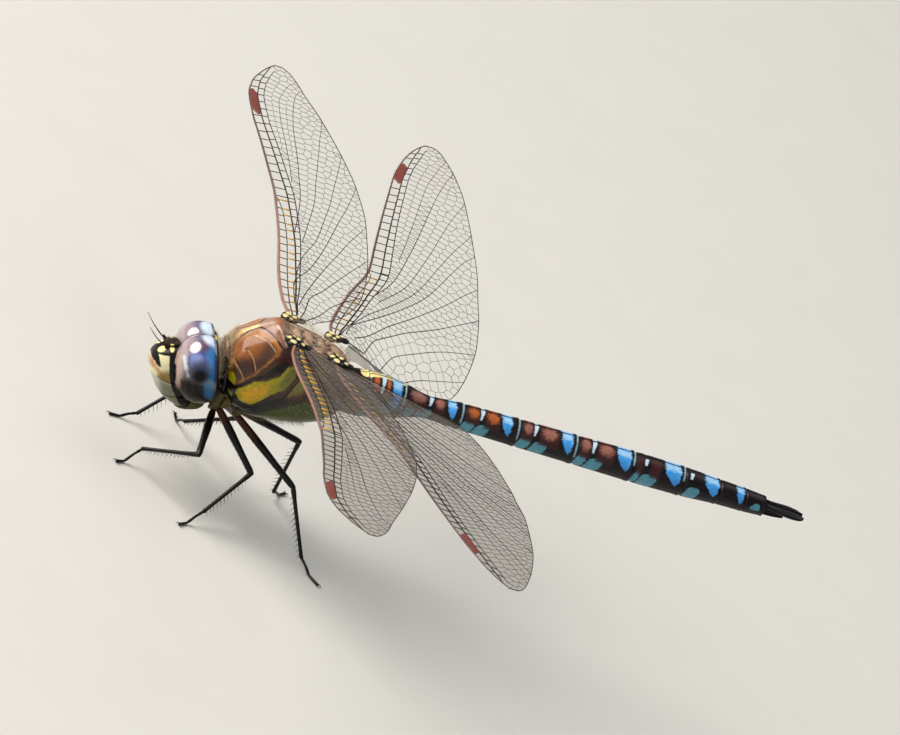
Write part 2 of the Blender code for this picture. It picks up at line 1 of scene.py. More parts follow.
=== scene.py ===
"""Migrant hawker dragonfly, adult male, life size: its skins, wings, hair and stage, as a Blender add-on.

Shapes are drawn in the animal's own body frame, in millimetres: origin midway between the roots of the
forewings, +X towards the head, +Y to the animal's left, +Z up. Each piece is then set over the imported
solids, in metres, and takes its place from them.
"""

import math

import bpy
import numpy as np
from bpy.props import FloatProperty, FloatVectorProperty, IntProperty, PointerProperty
from mathutils import Matrix, Vector, geometry
from numpy.linalg import norm


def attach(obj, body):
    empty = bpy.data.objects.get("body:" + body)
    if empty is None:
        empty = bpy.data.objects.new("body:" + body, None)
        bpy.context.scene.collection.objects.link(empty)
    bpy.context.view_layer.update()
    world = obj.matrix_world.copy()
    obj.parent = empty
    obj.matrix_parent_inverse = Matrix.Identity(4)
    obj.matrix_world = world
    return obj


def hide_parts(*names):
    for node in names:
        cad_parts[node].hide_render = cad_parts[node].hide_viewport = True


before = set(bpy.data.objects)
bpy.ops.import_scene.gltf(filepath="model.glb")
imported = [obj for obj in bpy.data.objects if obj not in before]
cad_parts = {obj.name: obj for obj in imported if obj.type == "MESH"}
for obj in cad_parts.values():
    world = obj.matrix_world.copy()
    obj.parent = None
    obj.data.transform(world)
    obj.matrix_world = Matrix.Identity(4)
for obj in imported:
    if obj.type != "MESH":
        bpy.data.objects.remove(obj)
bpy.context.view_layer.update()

bl_info = {
    "name": "Migrant Hawker Dragonfly",
    "version": (1, 0, 0),
    "blender": (4, 5, 0),
    "location": "View3D > Sidebar > Dragonfly",
    "description": "Builds the skins, wings, hair and stage of a life-size dragonfly around its solids",
    "category": "Add Mesh",
}

MM = 0.001  # in metres
OUTSIDE = -9.0  # a field's value where its marking is far away
TINY = 1e-12  # keeps a division from failing
SIDES = {"left": 1.0, "right": -1.0}
PAIRS = ("fore", "middle", "hind")

# --- the body frame, found from the solids ---

BODY_PITCH = math.radians(13.2)  # the body leans with its head low
WING_ROOT_HEIGHT = 17.37
THORAX_REAR = -6.3  # the thorax ends in a flat upright face here


def turn_y(angle):
    c, s = math.cos(angle), math.sin(angle)
    return np.array(((c, 0.0, s), (0.0, 1.0, 0.0), (-s, 0.0, c)))


def raw_points(node):
    """A solid's points over the floor, in millimetres."""
    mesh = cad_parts[node].data
    points = np.empty(len(mesh.vertices) * 3)
    mesh.vertices.foreach_get("co", points)
    return points.reshape(-1, 3) / MM


def find_stance():
    """Where the body frame's origin stands over the floor."""
    level = raw_points("thorax") @ turn_y(BODY_PITCH)
    lift = WING_ROOT_HEIGHT * math.sin(BODY_PITCH)
    x = (level[:, 0].min() - THORAX_REAR + lift) / math.cos(BODY_PITCH)
    return np.array((x, (level[:, 1].min() + level[:, 1].max()) / 2, WING_ROOT_HEIGHT))


BODY_TURN = turn_y(BODY_PITCH)
BODY_ORIGIN = find_stance()


def to_floor(points):
    return (np.asarray(points) @ BODY_TURN.T + BODY_ORIGIN) * MM


def to_body(points):
    return (np.asarray(points) - BODY_ORIGIN) @ BODY_TURN


def node_points(node):
    return to_body(raw_points(node))


# --- settings ---


def linear(hex_colour):
    """An sRGB hex value as the linear colour that a shader takes."""
    channels = [int(hex_colour[i : i + 2], 16) / 255 for i in (1, 3, 5)]
    return [c / 12.92 if c <= 0.04045 else ((c + 0.055) / 1.055) ** 2.4 for c in channels] + [1.0]


def colour_property(name, hex_colour, description):
    shade = linear(hex_colour)
    return FloatVectorProperty(
        name=name, description=description, default=shade, size=4, min=0.0, max=1.0, subtype="COLOR"
    )


def length_property(name, size_mm, description, least_mm=0.0):
    size, least = size_mm * MM, least_mm * MM
    return FloatProperty(name=name, description=description, default=size, min=least, unit="LENGTH")


def angle_property(name, degrees, description):
    return FloatProperty(name=name, description=description, default=math.radians(degrees), subtype="ANGLE")


class DragonflyColours(bpy.types.PropertyGroup):
    """The main colours of the skins."""

    eye_rim: colour_property("Eye rim", "#3A7ABC", "Bright blue of the eye's rear rim")
    eye_crown: colour_property("Eye crown", "#9E8E98", "Mauve-grey of the top of the eye")
    face: colour_property("Face", "#F0E6BA", "Cream-yellow of the face")
    thorax: colour_property("Thorax", "#4A2A18", "Brown ground of the thorax")
    copper: colour_property("Copper panel", "#96582E", "Glossy copper panel on the thorax side")
    stripe: colour_property("Side stripe", "#A69C00", "Yellow stripe low on the thorax side")
    abdomen: colour_property("Abdomen", "#150B10", "Near-black ground of the abdomen")
    blue: colour_property("Blue spots", "#46A2F2", "Paired blue spots along the abdomen")
    russet: colour_property("Russet patches", "#40201E", "Russet patches along the abdomen")
    vein: colour_property("Veins", "#2A1C16", "Dark brown of the wing veins")


class DragonflySizes(bpy.types.PropertyGroup):
    """Sizes that can be changed without touching the solids."""

    hair_length: length_property("Hair length", 1.1, "Length of the longest hair on the thorax")
    hair_count: IntProperty(
        name="Hair count", description="Hairs that the coats of the thorax share out", default=14000, min=100
    )
    cell_size: length_property("Wing cell size", 1.12, "Width of the wing cells near the wing's front", 0.3)
    spine_length: length_property("Leg spine length", 0.75, "Length of the spines on the shins")


class DragonflyStage(bpy.types.PropertyGroup):
    """Camera and light."""

    distance: FloatProperty(
        name="Camera distance", description="From the camera to its aim", default=1.0, min=0.2, unit="LENGTH"
    )
    azimuth: angle_property("Camera azimuth", 67.73, "Bearing of the camera about the upright axis, from +X")
    elevation: angle_property("Camera elevation", 21.05, "Height of the camera over the level of its aim")
    roll: angle_property("Camera roll", 37.41, "Turn of the camera about its own line of sight")
    lens: FloatProperty(
        name="Lens",
        description="Focal length on a 36 mm sensor",
        default=448.6,
        min=10.0,
        subtype="DISTANCE_CAMERA",
    )


# --- forms: points, faces and fields ---


class Form:
    """Points in body millimetres, faces grouped by corner count, and a value for each point in each field."""

    def __init__(self, points, faces, fields=None):
        self.points = np.asarray(points, float)
        self.faces = [np.asarray(group, int) for group in faces if len(group)]
        self.fields = dict(fields or {})


def joined(forms):
    """Several forms as one. A field that a form lacks lies outside on it."""
    names = {name for form in forms for name in form.fields}
    points, faces, start = [], [], 0
    for form in forms:
        points.append(form.points)
        faces += [group + start for group in form.faces]
        start += len(form.points)
    fields = {
        name: np.concatenate([form.fields.get(name, np.full(len(form.points), OUTSIDE)) for form in forms])
        for name in names
    }
    return Form(np.concatenate(points), faces, fields)


def curve_through(table, xs):
    """Smooth values between the rows of a table (x, value, ...), without overshoot."""
    rows = np.array(sorted(table), float)
    x, y = rows[:, 0], rows[:, 1:]
    run = np.diff(x)[:, None]
    slope = np.diff(y, axis=0) / run
    tangent = np.zeros_like(y)
    product = slope[:-1] * slope[1:]
    total = np.where(product > 0, slope[:-1] + slope[1:], 1.0)
    tangent[1:-1] = np.where(product > 0, 2 * product / total, 0.0)
    tangent[0], tangent[-1] = slope[0], slope[-1]
    xs = np.atleast_1d(xs)
    i = np.clip(np.searchsorted(x, xs) - 1, 0, len(run) - 1)
    t = np.clip((xs - x[i]) / run[i, 0], 0.0, 1.0)[:, None]
    start, end = y[i], y[i + 1]
    leave, arrive = tangent[i] * run[i], tangent[i + 1] * run[i]
    return (
        (2 * t**3 - 3 * t**2 + 1) * start
        + (t**3 - 2 * t**2 + t) * leave
        + (3 * t**2 - 2 * t**3) * end
        + (t**3 - t**2) * arrive
    )


def rows_of(*columns):
    """Coordinates as points, or corners as faces."""
    return np.stack(np.broadcast_arrays(*columns), axis=-1)


def unit(vectors):
    """The same ways, each one long."""
    return vectors / (norm(vectors, axis=-1, keepdims=True) + TINY)


def turns(sides):
    """Even steps round a full circle."""
    return 2 * math.pi * np.arange(sides) / sides


def signed_power(value, power):
    return np.sign(value) * np.abs(value) ** power


def band_faces(rows, sides, closed=True):
    """Quads between neighbouring rows of points."""
    i, j = np.meshgrid(np.arange(rows - 1), np.arange(sides if closed else sides - 1), indexing="ij")
    k = (j + 1) % sides
    quads = rows_of(i * sides + j, i * sides + k, (i + 1) * sides + k, (i + 1) * sides + j)
    return quads.reshape(-1, 4)


def lofted(grid, fields=None):
    """A closed skin over a grid of rings, each end closed by a fan about its middle."""
    rows, sides = grid.shape[:2]
    points = np.concatenate((grid.reshape(-1, 3), grid[0].mean(0)[None], grid[-1].mean(0)[None]))
    around = np.arange(sides)
    after = (around + 1) % sides
    first = np.full(sides, rows * sides)
    last_row = (rows - 1) * sides
    front_fan = rows_of(first, after, around)
    rear_fan = rows_of(first + 1, last_row + around, last_row + after)
    full = {}
    for name, values in (fields or {}).items():
        values = np.asarray(values).reshape(rows, sides)
        full[name] = np.concatenate((values.ravel(), [values[0].mean(), values[-1].mean()]))
    return Form(points, [band_faces(rows, sides), np.concatenate((front_fan, rear_fan))], full)


def grid_normals(grid):
    """Outward unit normals of a grid of rings."""
    around = np.roll(grid, -1, axis=1) - np.roll(grid, 1, axis=1)
    along = np.gradient(grid, axis=0)
    normal = unit(np.cross(along, around))
    outward = grid - grid.mean(axis=1, keepdims=True)
    return normal * np.sign((normal * outward).sum(axis=(0, 1, 2)) or 1.0)


ROUND_END = ((0.35, 0.94), (0.75, 0.66), (0.96, 0.26))  # reach past the end, size of the ring there
STEEP = 0.1  # a way whose cross product is shorter than this stands almost upright


def tube(path, radii, sides=10):
    """A limb along a path, its ends rounded."""
    path = np.asarray(path, float)
    radii = np.broadcast_to(np.asarray(radii, float), len(path))
    reach, share = np.array(ROUND_END).T
    first = path[0] + unit(path[0] - path[1]) * radii[0] * reach[::-1, None]
    last = path[-1] + unit(path[-1] - path[-2]) * radii[-1] * reach[:, None]
    points = np.concatenate((first, path, last))
    sizes = np.concatenate((radii[0] * share[::-1], radii, radii[-1] * share))
    ways = unit(np.gradient(points, axis=0))
    angles = turns(sides)
    across = np.cross(ways[0], (0.0, 0.0, 1.0))
    if norm(across) < STEEP:
        across = np.cross(ways[0], (0.0, 1.0, 0.0))
    rings = []
    for point, ahead, size in zip(points, ways, sizes):
        across = unit(across - ahead * across.dot(ahead))
        upward = np.cross(ahead, across)
        rings.append(point + size * (np.cos(angles)[:, None] * across + np.sin(angles)[:, None] * upward))
    return lofted(np.array(rings))


def bars(starts, ends, radius):
    """Thin square-section bars, one for each pair of ends."""
    starts, ends = np.asarray(starts, float), np.asarray(ends, float)
    ahead = unit(ends - starts)
    across = np.cross(ahead, (0.0, 0.0, 1.0))
    weak = norm(across, axis=1) < STEEP
    across[weak] = np.cross(ahead[weak], (0.0, 1.0, 0.0))
    across = unit(across)
    upward = np.cross(ahead, across)
    corners = [across * radius, upward * radius, -across * radius, -upward * radius]
    points = np.stack([starts + c for c in corners] + [ends + c for c in corners], axis=1)
    block = np.array(((0, 1, 5, 4), (1, 2, 6, 5), (2, 3, 7, 6), (3, 0, 4, 7), (3, 2, 1, 0), (4, 5, 6, 7)))
    quads = (np.arange(len(starts))[:, None, None] * 8 + block).reshape(-1, 4)
    return Form(points.reshape(-1, 3), [quads])


HAIR_TAPER = ((0.0, 1.0), (0.45, 0.8))  # share of the length, share of the root's thickness
HAIR_POINTS = 7  # two rings of three points, and the tip


def strands(roots, directions, lengths, radius, sag):
    """Thin bent hairs or spines of three sides, each closed at its root and pointed at its tip."""
    count = len(roots)
    directions = unit(directions)
    across = unit(np.cross(directions, (0.3, 0.5, 0.81)))
    upward = np.cross(directions, across)
    lengths = np.broadcast_to(lengths, count)[:, None]
    rows = []
    for share, size in HAIR_TAPER:
        middle = roots + directions * lengths * share + sag * lengths * share**2
        for angle in turns(3):
            rows.append(middle + radius * size * (math.cos(angle) * across + math.sin(angle) * upward))
    rows.append(roots + directions * lengths + sag * lengths)
    points = np.stack(rows, axis=1)
    quads = np.array(((0, 1, 4, 3), (1, 2, 5, 4), (2, 0, 3, 5)))
    ends = np.array(((3, 4, 6), (4, 5, 6), (5, 3, 6), (2, 1, 0)))
    starts = np.arange(count)[:, None, None] * HAIR_POINTS
    return Form(points.reshape(-1, 3), [(starts + quads).reshape(-1, 4), (starts + ends).reshape(-1, 3)])


# --- fields: how far inside a marking each point lies, in millimetres ---


def inside_polygon(u, v, corners):
    """Signed distance to a closed outline, positive inside."""
    corners = np.asarray(corners, float)
    distance = np.full(np.shape(u), 1e9)
    inside = np.zeros(np.shape(u), bool)
    for (au, av), (bu, bv) in zip(corners, np.roll(corners, -1, axis=0)):
        du, dv = bu - au, bv - av
        t = np.clip(((u - au) * du + (v - av) * dv) / (du * du + dv * dv + TINY), 0.0, 1.0)
        distance = np.minimum(distance, np.hypot(u - au - t * du, v - av - t * dv))
        crosses = ((av > v) != (bv > v)) & (u < (v - av) * du / (dv or TINY) + au)
        inside ^= crosses
    return np.where(inside, distance, -distance)


def near_line(points, line, half_width):
    """Half the width of a line less the distance to it, along its corners."""
    line = np.asarray(line, float)
    distance = np.full(points.shape[:-1], 1e9)
    for start, end in zip(line[:-1], line[1:]):
        run = end - start
        t = np.clip(((points - start) @ run) / (run @ run), 0.0, 1.0)
        distance = np.minimum(distance, norm(points - start - t[..., None] * run, axis=-1))
    return half_width - distance


def in_ellipsoid(points, centre, reach):
    """Signed distance, roughly, to an ellipsoid; the side of the body makes no difference."""
    folded = points.copy()
    folded[..., 1] = np.abs(folded[..., 1])
    share = norm((folded - np.array(centre)) / np.array(reach), axis=-1)
    return (1.0 - share) * min(reach)


def smooth_step(value, low, high):
    """0 below the first limit and 1 above the second, with a soft rise between."""
    t = np.clip((value - low) / (high - low), 0.0, 1.0)
    return t * t * (3 - 2 * t)


# --- finishes ---


def set_up(tree, node, settings=None, links=None):
    """The settings of a node, and what feeds its sockets."""
    for key, value in (settings or {}).items():
        if isinstance(key, int) or key in node.inputs:
            node.inputs[key].default_value = value
        else:
            setattr(node, key, value)
    for socket, source in (links or {}).items():
        tree.links.new(source, node.inputs[socket])


def add_node(tree, kind, settings=None, links=None, output=0):
    """One shader node with its settings and links; gives one of its outputs."""
    node = tree.nodes.new("ShaderNode" + kind)
    set_up(tree, node, settings, links)
    return node.outputs[output]


def grain(tree, place, size_mm, stretch=(1.0, 1.0, 1.0), detail=3.0):
    """Noise whose grains are about size_mm across."""
    scaled = add_node(tree, "Mapping", {"Scale": stretch}, {"Vector": place})
    return add_node(tree, "TexNoise", {"Scale": 1.0 / size_mm, "Detail": detail}, {"Vector": scaled})


CHITIN_IOR = 1.54
COAT_ROUGHNESS = 0.12
DRY_COAT = 0.1  # the faint outer shine that dry cuticle has
MOTTLE_RANGE = {"From Min": 0.3, "From Max": 0.7}  # most of the noise lies between these
USUAL = {"layers": (), "grain_mm": 0.3, "mottle": 0.35, "bump_mm": 0.01, "coat": 0.0, "shine": 0.2,
         "alpha": 1.0, "stretch": (1.0, 1.0, 1.0)}
# Each layer of a finish: field, colour, soft edge in mm, wobble in mm, strength. A colour is a hex value or
# the name of one of the panel's colours.
EYE_LAYERS = (
    ("lower", "#1E1610", 0.55, 0.15, 1.0),
    ("base", "#28240F", 0.4, 0.10, 1.0),
    ("crown", "eye_crown", 0.4, 0.2, 1.0),
    # partly the eye's own pale pink front edge, partly painted light: it reaches high up the front, where the
    # eye is lit
    ("front", "#B49A90", 0.25, 0.12, 0.9),
    ("slate", "#6E6888", 0.35, 0.06, 0.85),
    ("rim", "eye_rim", 0.35, 0.05, 1.0),
    ("teal", "#1C6890", 0.35, 0.05, 0.9),
    ("dusk", "#5C3A54", 0.3, 0.08, 0.85),
    # painted highlight: a pale blue-white patch along the upper rear rim
    ("pale_rim", "#D0E0F4", 0.25, 0.08, 1.0),
    ("violet", "#3A4C9C", 0.35, 0.08, 0.95),
    # painted reflection of the sky: a pale blue-white patch laid over the violet
    ("sheen", "#9CACE4", 0.35, 0.05, 0.75),
    ("navy", "#161E40", 0.4, 0.1, 0.85),
    ("smudge", "#0A0605", 0.2, 0.12, 0.95),
    ("shade", "#22264C", 0.07, 0.05, 0.7),
    # painted highlight: pale blue-white streaks of scattered light down the eye
    ("streak", "#D4E0F4", 0.2, 0.12, 0.95),
    ("pupil", "#030305", 0.42, 0.2, 1.0),
    ("edge", "#1C2C44", 0.12, 0.05, 0.8),
    ("border", "#0C0808", 0.06, 0.06, 1.0),
)
FACE_LAYERS = (
    ("blush", "#B49084", 0.3, 0.2, 0.8),
    ("orange", "#B07030", 0.2, 0.2, 0.7),
    ("gold", "#8C6C20", 0.3, 0.1, 0.9),
    ("green", "#C4C2B0", 0.05, 0.02, 1.0),
    # painted shade: the lower face darkens towards its sides, away from the light
    ("cheek", "#74765E", 0.45, 0.1, 0.9),
    ("black", "#08060A", 0.05, 0.05, 1.0),
    ("spot", "#F2E29C", 0.05, 0.04, 1.0),
)
DULL_LAYERS = (("olive", "#5E5A30", 0.3, 0.2, 0.9), ("yellow", "#D9C85A", 0.06, 0.05, 1.0))
DARK_LAYERS = (
    ("yellow", "#EEE0A0", 0.06, 0.08, 1.0),
    ("russet", "#5A2412", 0.25, 0.15, 0.9),
)
THORAX_LAYERS = (
    ("low", "#0E0A05", 0.3, 0.3, 1.0),
    ("back", "#8A6E5C", 0.5, 0.3, 0.95),
    ("front", "#9C6238", 0.3, 0.2, 0.95),
    ("mauve", "#AC8A7C", 0.3, 0.2, 0.85),
    # painted light: the front cap lies in shade, so it is coloured lighter, as though lit
    ("collar", "#8C6E60", 0.12, 0.1, 0.8),
    ("tan_band", "#DCC07C", 0.15, 0.1, 0.9),
    ("pink", "#E0C4BC", 0.06, 0.04, 0.8),
    ("plates", "#C8A88E", 0.22, 0.3, 0.9),
    ("gaps", "#2A1A14", 0.16, 0.3, 0.95),
    ("rear_low", "#46500A", 0.35, 0.3, 0.95),
    ("rear_patch", "#8A8434", 0.25, 0.15, 0.9),
    ("dark", "#120906", 0.08, 0.08, 1.0),
    ("copper", "copper", 0.1, 0.06, 1.0),
    ("copper_low", "#3C2014", 0.6, 0.2, 0.95),
    ("copper_rear", "#4A3026", 0.6, 0.3, 0.9),
    ("edge", "#C07A34", 0.12, 0.2, 0.8),
    ("wine", "#3C1612", 0.15, 0.1, 0.9),
    ("crest", "#3A1410", 0.04, 0.03, 1.0),
    ("pale_rear", "#D8B090", 0.04, 0.03, 0.7),
    ("pale_middle", "#D8A870", 0.04, 0.03, 0.6),
    ("pale_front", "#D8B080", 0.04, 0.03, 0.7),
    ("seam_rear", "#140C0A", 0.05, 0.04, 0.9),
    ("seam_last", "#140C0A", 0.05, 0.04, 0.9),
    ("seam", "#0C0808", 0.05, 0.03, 1.0),
    ("stripe", "stripe", 0.08, 0.08, 1.0),
    ("stripe_heart", "#DCA400", 0.25, 0.4, 0.85),
    ("fading", "#6E7236", 0.3, 0.1, 0.9),
    ("yellow_front", "#B8AC10", 0.06, 0.04, 1.0),
    ("yellow_low", "#8A8424", 0.08, 0.05, 1.0),
)
ABDOMEN_LAYERS = (
    ("side", "#3A4668", 0.5, 0.2, 0.8),
    ("under", "#2A1C1C", 0.4, 0.2, 0.8),
    ("low", "#5CA4B8", 0.07, 0.12, 0.95),
    ("olive", "#6A6C34", 0.2, 0.15, 0.9),
    ("russet", "russet", 0.16, 0.16, 0.9),
    # partly the patches' own orange centre, partly a painted highlight on each red-brown patch
    ("glow", "#B4602E", 0.2, 0.3, 0.9),
    # painted sheen: a dull pink highlight on the later red-brown patches
    ("bloom", "#A0685C", 0.2, 0.3, 0.85),
    ("cream", "#E8DC98", 0.06, 0.06, 1.0),
    ("blue", "blue", 0.06, 0.12, 1.0),
    # painted highlight: a pale shine on the upper part of each blue spot
    ("sky", "#A4D2F6", 0.2, 0.3, 0.8),
    ("line", "#0C080C", 0.04, 0.04, 0.95),
    ("white", "#C4DCF0", 0.05, 0.07, 1.0),
    ("ring", "#9CC0CC", 0.05, 0.07, 0.9),
)
HAIR_LAYERS = (
    ("low", "#6C6244", 0.4, 0.05, 0.85),
    ("dark", "#4A3826", 0.2, 0.05, 0.8),
    ("copper", "#A87848", 0.2, 0.05, 0.7),
    ("stripe", "#B0A858", 0.2, 0.05, 0.7),
)
FINISHES = {
    # Compound eye: a clear smooth corneal cuticle over a bed of pigment cells. The clear outer layer gives a
    # wet, hard highlight, and the tints lie soft-edged beneath it; some of those tints are painted
    # reflections and highlights.
    "eye": dict(name="Corneal cuticle, faceted", ground="#574A50", layers=EYE_LAYERS, roughness=0.3,
                grain_mm=0.5, mottle=0.12, bump_mm=0.0),
    # Face cuticle: hardened, pale and faintly waxy, so its gloss is broad and soft.
    "face": dict(name="Waxy face cuticle", ground="face", layers=FACE_LAYERS, roughness=0.34,
                 grain_mm=0.35, mottle=0.16, bump_mm=0.012, coat=DRY_COAT),
    # Black chitin, smooth as it hardened: a tight sheen along its ridges over a nearly lightless ground.
    "dark": dict(name="Blackened cuticle", ground="#0A0709", layers=DARK_LAYERS, roughness=0.34,
                 mottle=0.3, coat=DRY_COAT),
    # Back of the head: dull cuticle, black above and olive where it is thin below.
    "dull": dict(name="Dull head cuticle", ground="#16110F", layers=DULL_LAYERS, roughness=0.5,
                 grain_mm=0.4, mottle=0.4, bump_mm=0.015),
    # Thorax cuticle: thick, brown and polished on its plates, so the copper panel throws a long soft glint.
    "thorax": dict(name="Polished thorax cuticle", ground="thorax", layers=THORAX_LAYERS, roughness=0.34,
                   bump_mm=0.016, coat=0.5, shine=0.15),
    # Abdomen cuticle: dark and lacquer-smooth, with enamel-like spots lying level in it.
    "abdomen": dict(name="Lacquered abdomen cuticle", ground="abdomen", layers=ABDOMEN_LAYERS, roughness=0.34,
                    grain_mm=0.22, bump_mm=0.014, coat=0.12, stretch=(0.6, 1.0, 1.0)),
    # Wing veins: hollow rods of brown cuticle, half glossy, with a patchy tone where the wall is thin.
    "veins": dict(name="Brown vein cuticle", ground="vein", roughness=0.42, grain_mm=0.8, bump_mm=0.004),
    # The front edge of the wing: thicker cuticle, satin, and mauve where its pigment is thin near the body.
    "edge": dict(name="Satin edge cuticle", ground="#5E504E", layers=(("pale", "#A0766C", 1.0, 0.3, 0.9),),
                 roughness=0.36, grain_mm=0.6, mottle=0.3, bump_mm=0.006, coat=0.2),
    # Membranule: the only thick, cloudy piece of the wing, matt and smoke-white.
    "membranule": dict(name="Clouded membrane", ground="#BCB09C", roughness=0.5, grain_mm=0.7, mottle=0.3,
                       alpha=0.62),
    # Struts of unpigmented yellow cuticle, waxy.
    "struts": dict(name="Yellow vein cuticle", ground="#E0AC30", roughness=0.4, grain_mm=0.4, mottle=0.2,
                   bump_mm=0.004),
    # The wing spot: blood-filled and opaque, reddish-brown under a smooth face.
    "spot": dict(name="Opaque wing spot", ground="#7E443E", roughness=0.35, grain_mm=0.5,
                 bump_mm=0.006, coat=0.25),
    # Leg cuticle: black and polished on the shafts, warming to red-brown near the hip.
    "leg": dict(name="Polished leg cuticle", ground="#090708",
                layers=(("russet", "#5A2C16", 1.0, 0.3, 0.85),), roughness=0.32,
                grain_mm=0.25, mottle=0.3, coat=DRY_COAT),
    # Hip pieces: thin olive-brown cuticle, dull.
    "hip": dict(name="Olive hip cuticle", ground="#5A4E28", layers=(("dark", "#1A120E", 0.1, 0.1, 1.0),),
                roughness=0.42, grain_mm=0.4, mottle=0.4, bump_mm=0.015),
    # Body hair: hollow tan bristles of clear chitin, so each has a soft lit edge; darker over dark skin.
    "hair": dict(name="Clear tan bristle", ground="#DCC8A4", layers=HAIR_LAYERS, roughness=0.5,
                 grain_mm=0.6, mottle=0.3, bump_mm=0.0),
    # Matt painted board: even and pale, so that it takes shadows without a shine.
    "floor": dict(name="Matt painted board", ground="#D8D8D6", roughness=0.8, grain_mm=30.0, mottle=0.015,
                  bump_mm=0.0),
}


def shade(colour):
    return linear(colour) if colour.startswith("#") else list(getattr(settings()[0], colour))


def layered_finish(finish, name=None):
    """A skin whose markings follow fields of its points."""
    look = {**USUAL, **FINISHES[finish]}
    mottle, roughness, stretch = look["mottle"], look["roughness"], look["stretch"]
    material = bpy.data.materials.new(name or look["name"])
    material.use_nodes = True
    tree = material.node_tree
    place = add_node(tree, "Attribute", {"attribute_name": "body_mm"}, output="Vector")
    coarse = grain(tree, place, look["grain_mm"], stretch)
    fine = grain(tree, place, look["grain_mm"] / 5, stretch, 2.0)
    centred = add_node(tree, "Math", {"operation": "SUBTRACT", 1: 0.5}, {0: coarse})
    colour = add_node(tree, "RGB")
    colour.default_value = shade(look["ground"])
    for field, tint, soft, wobble, strength in look["layers"]:
        value = add_node(tree, "Attribute", {"attribute_name": field}, output="Fac")
        shaken = add_node(tree, "Math", {"operation": "MULTIPLY_ADD", 1: wobble * 2}, {0: centred, 2: value})
        edge = {"interpolation_type": "SMOOTHSTEP", "From Min": -soft, "From Max": soft, "To Max": strength}
        mask = add_node(tree, "MapRange", edge, {"Value": shaken})
        laid_on = {"data_type": "RGBA", 7: shade(tint)}
        colour = add_node(tree, "Mix", laid_on, {0: mask, 6: colour}, output=2)
    both = add_node(tree, "Math", {"operation": "ADD"}, {0: coarse, 1: fine})
    halved = add_node(tree, "Math", {"operation": "MULTIPLY", 1: 0.5}, {0: both})
    tones = {**MOTTLE_RANGE, "To Min": 1.0 - mottle, "To Max": 1.0 + mottle / 3}
    patchy = add_node(tree, "MapRange", tones, {"Value": halved})
    colour = add_node(tree, "VectorMath", {"operation": "SCALE"}, {0: colour, "Scale": patchy})
    polish = {"To Min": roughness * 0.8, "To Max": roughness * 1.25}
    rough = add_node(tree, "MapRange", polish, {"Value": fine})
    depth = {"Strength": 1.0, "Distance": look["bump_mm"] * MM}
    bump = add_node(tree, "Bump", depth, {"Height": fine})
    even = {
        "IOR": CHITIN_IOR,
        "Specular IOR Level": look["shine"],
        "Coat Weight": look["coat"],
        "Coat Roughness": COAT_ROUGHNESS,
        "Alpha": look["alpha"],
    }
    varied = {"Base Color": colour, "Roughness": rough, "Normal": bump}
    set_up(tree, tree.nodes["Principled BSDF"], even, varied)
    return material


def linked(name, data):
    """A new object that holds the data, in the scene."""
    item = bpy.data.objects.new(name, data)
    bpy.context.scene.collection.objects.link(item)
    return item


def make_piece(name, form, material, nodes=(), hair_map=None):
    """The form as an object over the floor that stands for the given solids."""
    mesh = bpy.data.meshes.new(name)
    faces = [face for group in form.faces for face in group.tolist()]
    mesh.from_pydata(to_floor(form.points).tolist(), [], faces, shade_flat=False)
    mesh.validate()
    place = mesh.attributes.new("body_mm", "FLOAT_VECTOR", "POINT")
    place.data.foreach_set("vector", form.points.ravel())
    read = {node.attribute_name for node in material.node_tree.nodes if node.type == "ATTRIBUTE"}
    for field in sorted(read - {"body_mm"}):
        values = np.asarray(form.fields.get(field, np.full(len(form.points), OUTSIDE)), float)
        mesh.attributes.new(field, "FLOAT", "POINT").data.foreach_set("value", values.ravel())
    if hair_map is not None:
        layer = mesh.uv_layers.new(name="OFBake")
        corner_points = np.empty(len(mesh.loops), int)
        mesh.loops.foreach_get("vertex_index", corner_points)
        layer.uv.foreach_set("vector", hair_map[corner_points].ravel())
    mesh.materials.append(material)
    piece = linked(name, mesh)
    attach(piece, "root")
    if nodes:
        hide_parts(*nodes)


# --- head ---

HEAD_CENTRE = np.array((6.95, 0.0, -5.3))
HEAD_TURN = turn_y(math.radians(17.0))  # the face looks forward and down
EYE_CENTRE = (0.0, 1.32, -0.35)
EYE_HALF_WIDTH = 2.7
EYE_HALF_HEIGHT = 3.15
EYE_DEPTHS = (2.35, 2.1)  # in front of and behind its centre
EYE_POWERS = (2.0, 3.2)
EYE_REAR = -1.38
EYE_SEAM = 0.025  # half the cleft between the two eyes
EYE_ZONES = (  # field, centre, reach: where each tint of the eye lies, in the head's frame
    ("lower", (0.8, 2.8, -3.0), (2.9, 3.4, 3.0)),
    ("base", (0.8, 2.6, -3.2), (2.4, 2.8, 1.3)),
    ("crown", (1.5, 0.9, 2.2), (1.9, 2.4, 1.9)),
    # the pale front: its own colour low down, and painted light where it reaches up the lit front of the eye
    ("front", (2.2, 2.3, 0.3), (0.68, 1.7, 2.1)),
    ("slate", (-0.3, 1.1, 2.8), (0.8, 1.2, 0.8)),
    ("dusk", (-0.3, 2.2, 2.55), (0.5, 0.7, 0.5)),
    ("violet", (0.35, 3.3, 1.5), (0.85, 1.3, 0.85)),
    # painted reflection of the sky, over the violet
    ("sheen", (0.5, 3.3, 1.7), (0.55, 0.6, 0.55)),
    ("rim", (-1.15, 3.4, 0.9), (1.05, 2.5, 2.7)),
    # painted highlight along the upper rear rim
    ("pale_rim", (-0.98, 0.95, 3.0), (0.85, 1.4, 0.9)),
    ("teal", (-1.1, 3.8, -0.8), (0.85, 1.6, 1.2)),
    ("navy", (0.15, 3.7, 0.75), (0.95, 1.5, 0.95)),
    ("pupil", (0.14, 3.88, 0.34), (0.78, 1.5, 0.68)),
)
